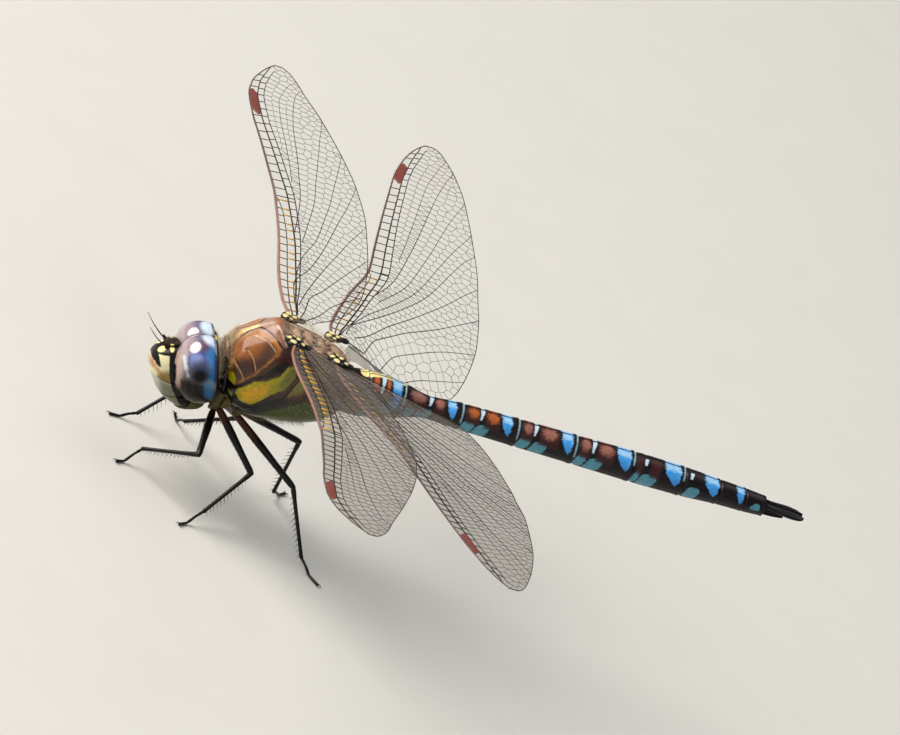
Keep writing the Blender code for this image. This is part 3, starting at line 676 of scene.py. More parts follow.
EYE_STREAKS = (  # field, path in the head's frame, half its width
    ("shade", ((1.12, 2.9, 1.8), (1.05, 3.2, 1.35), (0.98, 3.45, 0.95)), 0.07),
    # the two streak paths are a painted highlight: scattered light down the eye
    ("streak", ((1.55, 2.6, 1.6), (1.43, 2.95, 1.2), (1.3, 3.22, 0.8)), 0.17),
    ("streak", ((1.34, 3.15, 0.9), (1.12, 3.6, 0.2)), 0.07),
    ("smudge", ((1.08, 3.7, -0.3), (0.95, 3.7, -1.4)), 0.2),
    ("smudge", ((0.42, 3.95, -0.5), (0.35, 3.85, -1.5)), 0.2),
    ("smudge", ((1.62, 3.2, -0.5), (1.5, 3.2, -1.7)), 0.18),
    ("smudge", ((-0.1, 3.95, -0.6), (-0.15, 3.85, -1.5)), 0.16),
)
EYE_EDGE = -1.16  # depth from which the rear edge darkens
EYE_BORDER = (2.12, 0.5)  # the front edge is dark beyond this depth, below this height
EYE_LIP = ((0.03, 0.985), (0.045, 0.95), (0.045, 0.6))  # behind the rear edge: step back, share of its size
FACET_MM = 0.07


def head_place(points):
    return np.asarray(points) @ HEAD_TURN.T + HEAD_CENTRE


def in_head(points):
    return (np.asarray(points) - HEAD_CENTRE) @ HEAD_TURN


def soft_floor(value, floor, radius):
    """Value held above a floor, with a rounded corner of that radius."""
    t = value - floor
    return floor + (t + np.sqrt(t * t + radius * radius)) / 2


def eye_form(side, rings=96, sides=144):
    """A helmet-shaped eye, flattened where it meets its twin and cut square behind."""
    rear = (-EYE_REAR / EYE_DEPTHS[1]) ** (EYE_POWERS[1] / 2)
    last = math.pi - math.acos(rear)
    grid = []
    around = turns(sides)
    for angle in np.linspace(0.02, last, rings):
        half = 0 if math.cos(angle) >= 0 else 1
        x = signed_power(math.cos(angle), 2 / EYE_POWERS[half]) * EYE_DEPTHS[half]
        grid.append((x, math.sin(angle) ** (2 / EYE_POWERS[half])))
    x, reach = grid[-1]
    grid += [(x - back, reach * share) for back, share in EYE_LIP]
    rows = []
    for x, reach in grid:
        y = EYE_CENTRE[1] + EYE_HALF_WIDTH * reach * np.cos(around)
        z = EYE_CENTRE[2] + EYE_HALF_HEIGHT * reach * np.sin(around)
        y = soft_floor(y, EYE_SEAM, 0.09)
        rows.append(rows_of(x, side * y, z))
    grid = np.array(rows)
    fields = {name: in_ellipsoid(grid, centre, reach) for name, centre, reach in EYE_ZONES}
    folded = rows_of(grid[..., 0], np.abs(grid[..., 1]), grid[..., 2])
    for name, path, half_width in EYE_STREAKS:
        streak = near_line(folded, path, half_width)
        fields[name] = np.maximum(fields.get(name, OUTSIDE), streak)
    fields["edge"] = EYE_EDGE - grid[..., 0]
    fields["border"] = np.minimum(grid[..., 0] - EYE_BORDER[0], EYE_BORDER[1] - grid[..., 2])
    form = lofted(grid, fields)
    form.points = head_place(form.points)
    return form


def eye_finish():
    """The layered eye, with its facets and its clear outer layer."""
    material = layered_finish("eye")
    tree = material.node_tree
    place = add_node(tree, "Attribute", {"attribute_name": "body_mm"}, output="Vector")
    # the real facets are 0.04 mm across; they are drawn larger so that they show close up
    pattern = {"Scale": 1 / FACET_MM, "Randomness": 0.35}
    facets = add_node(tree, "TexVoronoi", pattern, {"Vector": place}, output="Distance")
    domes = {"Strength": 0.25, "Distance": 0.006 * MM, "invert": True}
    bump = add_node(tree, "Bump", domes, {"Height": facets})
    clear = []
    for field in ("pupil", "lower"):  # the cornea is clearest where the pigment under it is darkest
        value = add_node(tree, "Attribute", {"attribute_name": field}, output="Fac")
        fall = {"From Min": -0.3, "From Max": 0.3, "To Min": 1.0, "To Max": 0.08}
        clear.append(add_node(tree, "MapRange", fall, {"Value": value}))
    coat = add_node(tree, "Math", {"operation": "MULTIPLY"}, {0: clear[1], 1: clear[0]})
    even = {"Coat Roughness": 0.07, "Coat IOR": 1.85, "Specular IOR Level": 0.1}
    set_up(tree, tree.nodes["Principled BSDF"], even, {"Coat Weight": coat, "Normal": bump})
    return material


FACE_BACK = 0.3
FACE_STATIONS = (  # height, front, half width
    (1.5, 3.2, 0.85), (1.1, 3.85, 1.35), (0.55, 4.27, 1.65), (-0.1, 4.42, 1.85), (-1.1, 4.33, 2.0),
    (-2.0, 4.0, 2.1), (-2.8, 3.5, 2.1), (-3.4, 2.95, 2.0), (-3.85, 2.35, 1.8), (-4.15, 1.8, 1.5),
)
FACE_POWER = 2.5
FACE_SEAM = 0.03  # half the groove between two face plates
FACE_PLATES = {  # piece: its solid, top, bottom, rings
    "brow_plate": ("frons", 1.5, -1.35, 90),
    "face_shield": ("clypeus", -1.35, -2.85, 50),
    "upper_lip": ("labrum", -2.85, -4.15, 44),
}
BROW_EDGE = ((0.0, 0.62), (0.6, 0.54), (0.85, 0.47), (1.25, 0.34), (1.62, -0.02))  # distance out, height
BROW_TOP = 0.96  # all is dark above this height
BROW_SPOT = ((3.36, 0.7, 1.3), (0.44, 0.36, 0.34))  # centre, reach
CROWN_SPOT = ((2.45, 0.86, 1.45), (0.2, 0.36, 0.66))
NAPE_SPOT = ((-1.4, 0.0, 2.3), (0.6, 0.5, 0.35))
CHEEK_GOLD = ((2.9, 2.0, -1.1), (0.8, 0.9, 0.75))
FACE_BLUSH = ((4.3, 0.7, 0.2), (0.5, 0.9, 0.5))
ORANGE_LINE = ((4.15, 0.9, 0.25), (3.8, 1.45, -0.2), (3.35, 1.75, -0.75), (2.98, 1.9, -1.25))
FRONS_FLOOR = -1.35
# height, depth
CHEEK_LINE = ((-4.2, 1.2), (-3.57, 1.6), (-2.18, 2.26), (-1.45, 2.52), (-0.4, 2.68), (1.5, 2.7))


def face_tilt(height, depth):
    """The seam under the brow plate climbs towards the front."""
    near = np.exp(-(((height - FRONS_FLOOR) / 0.9) ** 2))
    return near * (-0.15 + 0.65 * np.clip((depth - 2.6) / 1.6, 0.0, 1.0))


def face_form(top, bottom, rings, sides=128):
    """One plate of the face between two heights, its edges rolled in."""
    heights = np.linspace(bottom + FACE_SEAM, top - FACE_SEAM, rings)
    sizes = curve_through(FACE_STATIONS, heights)
    around = turns(sides)
    rows = []
    for index, (height, (front, half_width)) in enumerate(zip(heights, sizes)):
        edge = min(index, rings - 1 - index) / rings
        roll = 1.0 - 0.035 * math.exp(-edge * 40)
        middle, half_depth = (front + FACE_BACK) / 2, (front - FACE_BACK) / 2
        x = middle + half_depth * roll * signed_power(np.cos(around), 2 / FACE_POWER)
        y = half_width * roll * signed_power(np.sin(around), 2 / FACE_POWER)
        rows.append(rows_of(x, y, height + face_tilt(height, x)))
    return np.array(rows)


def face_fields(grid):
    """Every marking of the face, alike on both sides."""
    depth, height = grid[..., 0], grid[..., 2]
    out = np.abs(grid[..., 1])
    folded = rows_of(depth, out, height)
    brow = np.minimum(height - np.interp(out, *zip(*BROW_EDGE)), depth - 3.39 - 0.26 * height)
    green = FRONS_FLOOR - 0.02 + face_tilt(height, depth) - height
    return {
        "black": np.maximum.reduce((np.interp(height, *zip(*CHEEK_LINE)) - depth, brow, height - BROW_TOP)),
        "spot": np.maximum(in_ellipsoid(folded, *BROW_SPOT), in_ellipsoid(folded, *CROWN_SPOT)),
        "orange": near_line(folded, ORANGE_LINE, 0.22),
        "gold": in_ellipsoid(folded, *CHEEK_GOLD),
        "blush": in_ellipsoid(folded, *FACE_BLUSH),
        "green": green,
        # painted shade on the lower face, behind this depth
        "cheek": np.minimum(green, 3.45 - depth),
    }


def face_plate(top, bottom, rings):
    grid = face_form(top, bottom, rings)
    form = lofted(grid, face_fields(grid))
    form.points = head_place(form.points)
    return form


REFINING = {"vertex": {"voxel": 0.06, "inset": 0.16}, "neck": {"voxel": 0.07}}  # unlike the other skins
HIP_VOXEL = 0.07


def refined(node, voxel=0.09, smoothing=6, inset=0.02):
    """A solid's shape in small even faces, its facets smoothed away, drawn in slightly."""
    points = node_points(node)
    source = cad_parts[node].data
    mesh = bpy.data.meshes.new("scratch")
    mesh.from_pydata(points.tolist(), [], [tuple(face.vertices) for face in source.polygons])
    scratch = linked("scratch", mesh)
    weld = scratch.modifiers.new("weld", "WELD")
    weld.merge_threshold = 0.002
    remesh = scratch.modifiers.new("remesh", "REMESH")
    remesh.mode = "VOXEL"
    remesh.voxel_size = voxel
    smooth = scratch.modifiers.new("smooth", "SMOOTH")
    smooth.iterations = smoothing
    smooth.factor = 0.5
    evaluated = scratch.evaluated_get(bpy.context.evaluated_depsgraph_get())
    result = evaluated.to_mesh()
    out, normals = np.empty((2, len(result.vertices) * 3))
    result.vertices.foreach_get("co", out)
    result.vertices.foreach_get("normal", normals)
    faces = [tuple(face.vertices) for face in result.polygons]
    evaluated.to_mesh_clear()
    bpy.data.objects.remove(scratch)
    bpy.data.meshes.remove(mesh)
    groups = [np.array([f for f in faces if len(f) == corners]) for corners in (3, 4)]
    return Form(out.reshape(-1, 3) - inset * normals.reshape(-1, 3), groups)


def skin_of(node):
    return refined(node, **REFINING.get(node, {}))


ANTENNA_ROOT = (2.75, 0.62, 1.3)
ANTENNA_TIP = (4.55, 1.35, 3.75)
ANTENNA_BOW = (0.12, 0.05, -0.1)


def antenna_form(side):
    """A short thick base of two joints, and a bristle that narrows to its tip."""
    root, tip, bow = np.array((ANTENNA_ROOT, ANTENNA_TIP, ANTENNA_BOW)) * (1, side, 1)
    along = tip - root
    base = tube([root - along * 0.03, root + along * 0.1], (0.26, 0.22), 14)
    second = tube([root + along * 0.1, root + along * 0.2], (0.17, 0.14), 14)
    shares = np.linspace(0.18, 1.04, 18)
    path = root + along * shares[:, None] + bow * np.sin(shares * math.pi)[:, None]
    bristle = tube(path, 0.075 - 0.05 * shares, 8)
    form = joined((base, second, bristle))
    form.points = head_place(form.points)
    return form


# --- thorax ---

THORAX_STATIONS = (  # x at mid height, back, belly, half width, forward lean in degrees
    (4.25, -2.9, -7.4, 1.7, 14.0), (4.0, -2.2, -7.9, 2.2, 13.0), (3.5, -1.35, -8.3, 2.7, 11.0),
    (2.8, -0.65, -8.6, 3.1, 8.0), (1.9, 0.1, -8.8, 3.4, 5.0), (0.8, 0.6, -8.85, 3.55, 2.0),
    (-0.8, 0.6, -8.7, 3.5, 0.0), (-2.6, 0.2, -8.45, 3.3, 0.0), (-4.2, -0.15, -8.05, 3.05, 0.0),
    (-5.5, -0.75, -7.5, 2.65, 0.0), (-6.3, -1.6, -6.8, 2.1, 0.0),
)
THORAX_POWER = 2.3
MM_PER_DEGREE = 0.068  # round the thorax's side
SIDE_SHAPES = {  # outlines on the side: station, degrees round from the back's middle line
    "copper": (
        (4.03, 23), (3.37, 18), (2.62, 14), (1.91, 27), (0.9, 46), (0.86, 55),
        (1.51, 68), (2.18, 80), (3.1, 91), (3.75, 100), (4.1, 88), (4.1, 52),
    ),
    "dark": (
        (1.65, 80), (1.25, 75), (0.41, 62), (-0.25, 60), (-0.1, 66), (0.23, 76), (1.12, 84), (2.26, 87.5),
    ),
    "stripe": (
        (3.46, 104), (3.28, 100), (2.26, 89.5), (1.12, 86.5), (0.23, 79), (-0.25, 66), (-1.05, 64),
        (-1.05, 77), (-0.61, 90), (0.41, 98), (1.07, 109), (1.82, 120), (3.01, 121), (3.5, 112),
    ),
    "yellow_front": ((4.25, 82), (4.2, 97), (3.72, 97), (3.62, 89), (3.85, 80)),
    "yellow_low": ((4.15, 117), (4.1, 127), (3.7, 127), (3.75, 117)),
    "mauve": ((4.2, -8), (4.2, 24), (3.4, 18), (2.6, 14), (1.9, 26), (1.2, 38), (1.4, -8)),
    "wine": ((0.78, 52), (0.35, 40), (-0.5, 44), (-0.4, 58), (0.45, 64)),
    "rear_patch": ((-2.3, 58), (-3.6, 48), (-4.1, 56), (-3.4, 74), (-2.2, 90), (-1.2, 96), (-1.5, 78)),
    "rear_low": ((-1.6, 106), (-4.0, 92), (-5.6, 84), (-5.8, 160), (-2.0, 166), (1.2, 150), (0.6, 134)),
}
SIDE_LINES = {  # paths on the side, each with half its width in mm
    "seam": (((4.16, 101), (3.81, 103), (3.1, 94), (2.26, 86), (1.65, 83)), 0.1),
    "pale_front": (((4.07, 52), (3.7, 68), (3.15, 88)), 0.05),
    "pale_middle": (((3.15, 45), (2.7, 60), (2.35, 76)), 0.05),
    "pale_rear": (((2.75, 21), (1.9, 36), (1.16, 52)), 0.05),
    "crest": (((3.99, 19), (3.15, 6), (2.4, 5), (1.78, 20), (0.98, 41), (0.54, 47)), 0.08),
    "pink": (((1.29, 10), (0.63, 31), (0.37, 42)), 0.09),
    "tan_band": (((4.21, 9), (3.46, 2), (2.62, 2)), 0.22),
    "seam_rear": (((-1.2, 60), (-1.6, 78), (-0.9, 100), (0.6, 116), (1.4, 130)), 0.07),
    "seam_last": (((-3.9, 50), (-3.5, 76), (-2.6, 98), (-0.8, 118)), 0.06),
}
BACK_RELIEF = (  # station, degrees, reach along, reach round in degrees, height: plates and hollows
    (3.62, 64, 0.6, 20, 0.32), (1.0, 0, 0.75, 16, 0.22), (-0.45, 0, 0.45, 12, 0.34),
    (-1.15, 0, 0.16, 26, -0.26), (-1.9, 0, 0.6, 15, 0.2), (-3.0, 0, 0.4, 12, 0.34),
    (-3.7, 0, 0.16, 26, -0.22), (0.4, 26, 0.9, 7, -0.2), (-2.5, 26, 1.0, 7, -0.2), (0.2, 38, 0.7, 6, 0.16),
    (-2.7, 38, 0.8, 6, 0.16), (2.6, 0, 1.3, 2.4, 0.14), (-2.55, 10, 0.3, 6, -0.2),
    (-2.9, 0, 2.4, 30, -0.55), (-0.6, 0, 1.2, 26, -0.3),
)
PALE_PLATES = (  # station, degrees, reach: pale plates between the wings
    (-0.5, 8, 0.5), (-1.3, 24, 0.35), (-1.9, 6, 0.55), (-2.7, 22, 0.4), (-3.2, 6, 0.45), (-4.1, 20, 0.4),
    (-4.6, 4, 0.4), (0.35, 26, 0.35),
)
DARK_HOLLOWS = (  # likewise, the dark hollows between the plates
    (-1.15, 8, 0.3), (-0.4, 28, 0.28), (-2.05, 26, 0.28), (-2.55, 10, 0.36), (-3.5, 24, 0.28),
    (-3.9, 6, 0.26), (-4.5, 30, 0.26),
)
SUNK_LINES = ("seam", "seam_rear", "seam_last", "pale_front", "pale_middle")
SINK = 0.9  # depth of a sunk line for each mm that a place lies inside it
PLATE_RISE = 0.05


def thorax_grid(rings=150, sides=216):
    """Rings of points down the thorax, with their stations and degrees round from the back."""
    stations = np.linspace(4.25, THORAX_REAR, rings)
    back, belly, half_width, lean = curve_through(THORAX_STATIONS, stations).T[..., None]
    turn = np.radians(lean)
    angle = 2 * math.pi * (np.arange(sides) / sides)[None, :]
    rise = (back - belly) / 2 * signed_power(np.cos(angle), 2 / THORAX_POWER)
    x = stations[:, None] + np.sin(turn) * rise
    y = half_width * signed_power(np.sin(angle), 2 / THORAX_POWER)
    z = (back + belly) / 2 + np.cos(turn) * rise
    degrees = np.degrees(np.minimum(angle, 2 * math.pi - angle)) + 0 * x
    return rows_of(x, y, z), stations[:, None] + 0 * x, degrees


def side_fields(station, degrees):
    """Every marking of the thorax side at the given places."""
    v = degrees * MM_PER_DEGREE
    fields = {}
    for name, corners in SIDE_SHAPES.items():
        fields[name] = inside_polygon(station, v, [(x, a * MM_PER_DEGREE) for x, a in corners])
    flat = rows_of(station, v)
    for name, (line, half_width) in SIDE_LINES.items():
        fields[name] = near_line(flat, [(x, a * MM_PER_DEGREE) for x, a in line], half_width)
    return fields


def in_spots(spots, station, degrees):
    """How far inside the nearest of some round spots each place on the thorax lies."""
    inside = np.full_like(station, OUTSIDE)
    for at, around, reach in spots:
        away = np.hypot(station - at, (degrees - around) * MM_PER_DEGREE)
        inside = np.maximum(inside, reach - away)
    return inside


def thorax_skin():
    """The thorax with its plates raised, its seams sunk, and its markings as fields."""
    grid, station, degrees = thorax_grid()
    fields = side_fields(station, degrees)
    swell = np.zeros_like(station)
    for at, around, along, across, height in BACK_RELIEF:
        swell += height * np.exp(-(((station - at) / along) ** 2) - ((degrees - around) / across) ** 2)
    for name in SUNK_LINES:
        swell -= SINK * np.clip(fields[name] + 0.1, 0.0, None)
    raised = smooth_step(fields["copper"], -0.05, 0.25), smooth_step(fields["stripe"], -0.05, 0.3)
    swell += PLATE_RISE * raised[0] + PLATE_RISE * raised[1]
    grid = grid + grid_normals(grid) * (swell - 0.03)[..., None]
    rear_half = 2.35 - station - np.abs(degrees - 55) * 0.02
    fields.update(
        edge=0.15 - np.abs(fields["copper"] - 0.08) - 0.1 * smooth_step(degrees, 55, 75),
        back=(54 - degrees) * MM_PER_DEGREE - np.clip(station - 0.9, 0.0, None),
        plates=in_spots(PALE_PLATES, station, degrees),
        gaps=in_spots(DARK_HOLLOWS, station, degrees),
        fading=fields["stripe"] - np.clip(station + 0.4, 0.0, None),
        low=(degrees - 100) * MM_PER_DEGREE,
        stripe_heart=np.minimum(fields["stripe"] - 0.3, station - 0.8),
        copper_low=np.minimum(fields["copper"], (degrees - 60) * MM_PER_DEGREE),
        copper_rear=np.minimum(fields["copper"] - 0.1, rear_half),
        # painted light over the front cap, which lies in shade
        collar=np.minimum(station - 4.02, (86 - degrees) * MM_PER_DEGREE),
        front=np.minimum(station - 0.9, (44 - degrees) * MM_PER_DEGREE),
    )
    return lofted(grid, fields)


HINGE_KNUCKLES = (  # place from the root, half sizes
    ((0.0, 0.0, 0.0), (0.56, 0.52, 0.34)), ((-0.5, -0.5, 0.1), (0.56, 0.5, 0.28)),
    ((-0.8, -0.05, 0.0), (0.5, 0.46, 0.26)), ((-1.35, -0.1, -0.06), (0.46, 0.42, 0.2)),
    ((0.32, -0.48, 0.08), (0.42, 0.42, 0.26)), ((0.0, -0.88, 0.14), (0.5, 0.38, 0.22)),
)
HINGE_CAPS = (  # place from the root, reach
    ((-0.02, 0.05, 0.28), 0.3), ((-0.5, -0.5, 0.34), 0.22), ((0.34, -0.55, 0.28), 0.26),
    ((-0.95, 0.0, 0.2), 0.2), ((-0.15, -0.92, 0.32), 0.18),
)
HINGES = {"fore": (0.15, 2.5, 0.02), "hind": (-4.25, 2.45, -0.62)}


def ball(centre, reach, rings=18, sides=24):
    angles = np.linspace(0.08, math.pi - 0.08, rings)
    around = turns(sides)
    x = np.cos(angles)[:, None] * reach[0]
    y = np.sin(angles)[:, None] * np.cos(around) * reach[1]
    z = np.sin(angles)[:, None] * np.sin(around) * reach[2]
    return lofted(rows_of(x, y, z) + centre)


def hinge_form(place, side):
    """The knuckles at a wing's root: black sclerites with a cream-yellow cap."""
    mirror = np.array((1, side, 1))
    form = joined([ball((np.array(place) + offset) * mirror, size) for offset, size in HINGE_KNUCKLES])
    offsets = form.points - place * mirror
    inside = [reach - norm(offsets - cap * mirror, axis=1) for cap, reach in HINGE_CAPS]
    form.fields["yellow"] = np.max(inside, axis=0)
    return form


# --- abdomen ---

ABDOMEN_FRONT = (-6.45, 1.95, 2.1, -4.15)  # x, half width, half height, height of the middle
ABDOMEN_RIMS = (
    (-8.2, 2.1, 2.2, -4.05), (-11.95, 1.55, 1.65, -3.65), (-17.6, 1.22, 1.24, -3.5),
    (-23.0, 1.34, 1.3, -3.48), (-28.6, 1.4, 1.36, -3.48), (-34.2, 1.46, 1.42, -3.48),
    (-39.1, 1.42, 1.36, -3.48), (-42.65, 1.22, 1.16, -3.48), (-45.2, 1.12, 1.08, -3.52),
    (-47.2, 1.0, 0.94, -3.56),
)
SWELL_AT = (-9.68, 1.97, 2.08, -3.85)
WAIST = (-14.4, 1.02, 1.1, -3.55)
TUCK = 0.35  # each segment's front slides this far into the one before
SEGMENT_MARKS = (  # each segment along X: white streak, red-brown patches, blue spot, pale low patches
    (None, (), None, ()),
    (-9.62, ((-8.6, -9.3), (-9.9, -10.35)), (-10.48, -11.45), ((-8.5, -9.3), (-9.9, -11.2))),
    (-14.46, ((-12.3, -14.1), (-14.85, -15.85)), (-16.0, -16.85), ((-12.2, -13.0), (-13.4, -14.6))),
    (-19.33, ((-17.95, -19.15), (-19.65, -21.1)), (-21.2, -22.2), ((-17.75, -18.7), (-19.0, -20.1))),
    (-24.5, ((-23.3, -24.3), (-24.9, -26.8)), (-27.0, -28.1), ((-23.2, -24.1), (-24.5, -25.7))),
    (-30.15, ((-28.9, -29.9), (-30.5, -32.2)), (-32.37, -33.75), ((-28.75, -29.5), (-29.85, -31.1))),
    (-35.25, ((-34.5, -35.0), (-35.7, -36.7)), (-37.04, -38.65), ((-34.35, -34.7), (-35.0, -36.4))),
    (-39.74, (), (-40.98, -42.4), ((-39.5, -40.6),)),
    (None, (), (-44.2, -44.95), ()),
    (None, (), None, ((-45.8, -46.6),)),
)
OLIVE_SECOND = ((-10.4, 104), (-11.6, 108), (-11.7, 132), (-10.2, 128))  # x, degrees
BLUE_OUTLINE = (  # share of the blue spot's length, degrees
    (0.04, 5), (0.95, 3), (1.02, 40), (0.98, 70), (0.8, 88), (0.5, 76), (0.1, 48),
)
# Segments are counted from 0 below.
# The spots on the red-brown patches are painted highlights: orange ones, partly the patches' own orange, and
# dull pink ones.
ORANGE_GLINTED = (1, 3)  # their red-brown patches hold an orange spot, and those of the others a dull pink one
SPOTTED = range(6)  # the segments with such spots, and with long white streaks
RINGED = range(1, 7)  # the segments with a pale ring on the rear rim
LONG_RINGED = range(1, 5)  # those whose ring reaches far down the sides
TAIL = 9


def segment_ends(index):
    """Where a segment starts and ends along X."""
    front = ABDOMEN_RIMS[index - 1] if index else ABDOMEN_FRONT
    return front[0], ABDOMEN_RIMS[index][0]


def segment_form(index, rings=76, sides=112):
    """One segment: a tube that flares at its rear rim, finely keeled, with its markings as fields."""
    front, rear = segment_ends(index)
    profile = [ABDOMEN_FRONT, SWELL_AT, WAIST, *ABDOMEN_RIMS]
    shares = np.linspace(0.0, 1.0, rings) ** 0.9
    start = front + (TUCK if index else 0.0)
    x = start + (rear - start) * shares
    half_width, half_height, middle = curve_through(profile, x).T
    along = (x - front) / (rear - front)
    scale = 1.0 + 0.03 * smooth_step(along, 0.88, 0.97) - 0.03 * smooth_step(along, 0.97, 1.0)
    scale -= 0.09 * (1.0 - smooth_step(along, -0.02, 0.1))
    angle = turns(sides)
    degrees = np.degrees(np.minimum(angle, 2 * math.pi - angle))
    keel = 1.0 + 0.02 * np.exp(-((degrees / 3.0) ** 2)) - 0.018 * np.exp(-(((degrees - 118) / 4.0) ** 2))
    flat_under = 1.0 - 0.1 * smooth_step(degrees, 125, 165)
    y = (half_width * scale)[:, None] * np.sin(angle) * keel
    z = middle[:, None] + (half_height * scale)[:, None] * np.cos(angle) * keel * flat_under
    x, degrees, half_width = x[:, None] + 0 * y, degrees[None, :] + 0 * y, half_width[:, None] + 0 * y
    return lofted(rows_of(x, y, z), segment_fields(index, x, degrees, half_width))


def segment_fields(index, x, degrees, half_width):
    """Every marking of one segment at the given places."""
    round_mm = np.radians(1.0) * half_width
    v = degrees * round_mm
    per_degree = float(np.mean(round_mm))
    fields = {name: np.full_like(x, OUTSIDE) for name in ("russet", "low", "glow", "bloom")}
    white, russet, blue, low_patches = SEGMENT_MARKS[index]
    for low, high in russet:
        middle, reach = (low + high) / 2, abs(high - low) / 2
        patch = np.minimum(reach - np.abs(x - middle), (37 - np.abs(degrees - 46)) * per_degree)
        fields["russet"] = np.maximum(fields["russet"], patch)
        # a round painted highlight high on each red-brown patch
        painted_glint_spot = 0.5 - 0.5 * np.hypot((x - middle) / (0.75 * reach), (degrees - 30) / 24)
        lit = "glow" if index in ORANGE_GLINTED else "bloom"
        if index in SPOTTED:
            fields[lit] = np.maximum(fields[lit], painted_glint_spot)
    if blue:
        low, high = blue
        corners = [(low + (high - low) * share, a * per_degree) for share, a in BLUE_OUTLINE]
        fields["blue"] = inside_polygon(x, degrees * per_degree, corners)
        # painted highlight on the upper part of the blue spot
        fields["sky"] = np.minimum(fields["blue"] - 0.04, (34 - degrees) * per_degree)
    if white is not None:
        across = 0.23 - 0.0026 * degrees - np.abs(x - white - 0.003 * (degrees - 30))
        spread = 25 if index in SPOTTED else 14
        fields["white"] = np.minimum(across, (spread - np.abs(degrees - 30)) * per_degree)
    around, spread = (80, 18) if index == TAIL else (102, 29)
    for low, high in low_patches:
        middle, reach = (low + high) / 2, abs(high - low) / 2
        slant = x - middle - 0.006 * (degrees - 98)
        patch = np.minimum(reach + 0.08 - np.abs(slant), (spread - np.abs(degrees - around)) * per_degree)
        corner = np.clip(np.abs(slant) / reach, 0, 1) ** 4 * (np.abs(degrees - 104) / 26) ** 4
        fields["low"] = np.maximum(fields["low"], patch - 0.12 * corner)
    if index in RINGED:
        reach = 90 if index in LONG_RINGED else 58
        behind = x - (segment_ends(index)[1] + 0.06)
        fields["ring"] = np.minimum(0.13 - np.abs(behind), (reach - degrees) * 0.01)
    if index == 1:
        fields["cream"] = 0.1 + 0.3 * np.clip((x + 9.6) / 1.3, 0.0, 1.0) - np.abs(v - 0.16)
        fields["side"] = (degrees - 66) * per_degree
        fields["olive"] = inside_polygon(x, degrees, OLIVE_SECOND) * 0.03
    if index == 0:
        fields["olive"] = (28 - np.abs(degrees - 104)) * per_degree
        fields["cream"] = 0.55 - np.hypot((x + 7.9) * 1.1, v * 0.8)
    return {**fields, "line": 0.07 - v, "under": (degrees - 132) * per_degree}


CERCUS_LENGTH = 3.95
CERCUS_OUTLINE = (  # share of the length, inner edge, outer edge, half thickness
    (-0.06, 0.36, 0.68, 0.2), (0.06, 0.26, 0.72, 0.22), (0.2, 0.2, 0.76, 0.2), (0.4, 0.12, 0.92, 0.2),
    (0.62, 0.08, 1.0, 0.22), (0.82, 0.1, 0.92, 0.2), (0.94, 0.16, 0.72, 0.14), (1.0, 0.26, 0.48, 0.06),
)
EPIPROCT_LENGTH = 2.2
EPIPROCT_OUTLINE = (  # share of the length, half width, half thickness
    (-0.1, 0.5, 0.2), (0.35, 0.46, 0.2), (0.75, 0.32, 0.17), (0.97, 0.2, 0.1), (1.0, 0.1, 0.05),
)


def cercus_form(side, rings=60, sides=40):
    """An upper tail blade: narrow at its root, leaf-shaped, ridged along its inner edge."""
    shares = np.linspace(-0.06, 1.0, rings)
    inner, outer, thick = curve_through(CERCUS_OUTLINE, shares).T[..., None]
    angle = turns(sides)
    y = (inner + outer) / 2 + (outer - inner) / 2 * signed_power(np.cos(angle), 0.8)
    ridge = 0.1 * np.exp(-(((y - inner - 0.15) / 0.12) ** 2)) * (np.sin(angle) > 0)
    z = -3.3 - 0.25 * shares[:, None] + thick * signed_power(np.sin(angle), 0.9) + ridge
    x = ABDOMEN_RIMS[-1][0] - shares[:, None] * CERCUS_LENGTH
    return lofted(rows_of(x, side * y, z))


def epiproct_form(rings=30, sides=32):
    """The short lower tail plate."""
    shares = np.linspace(-0.1, 1.0, rings)
    half, thick = curve_through(EPIPROCT_OUTLINE, shares).T[..., None]
    angle = turns(sides)
    y = half * signed_power(np.cos(angle), 0.8)
    z = -4.05 + thick * signed_power(np.sin(angle), 0.9)
    x = ABDOMEN_RIMS[-1][0] - shares[:, None] * EPIPROCT_LENGTH
    return lofted(rows_of(x, y, z))


# --- wings ---

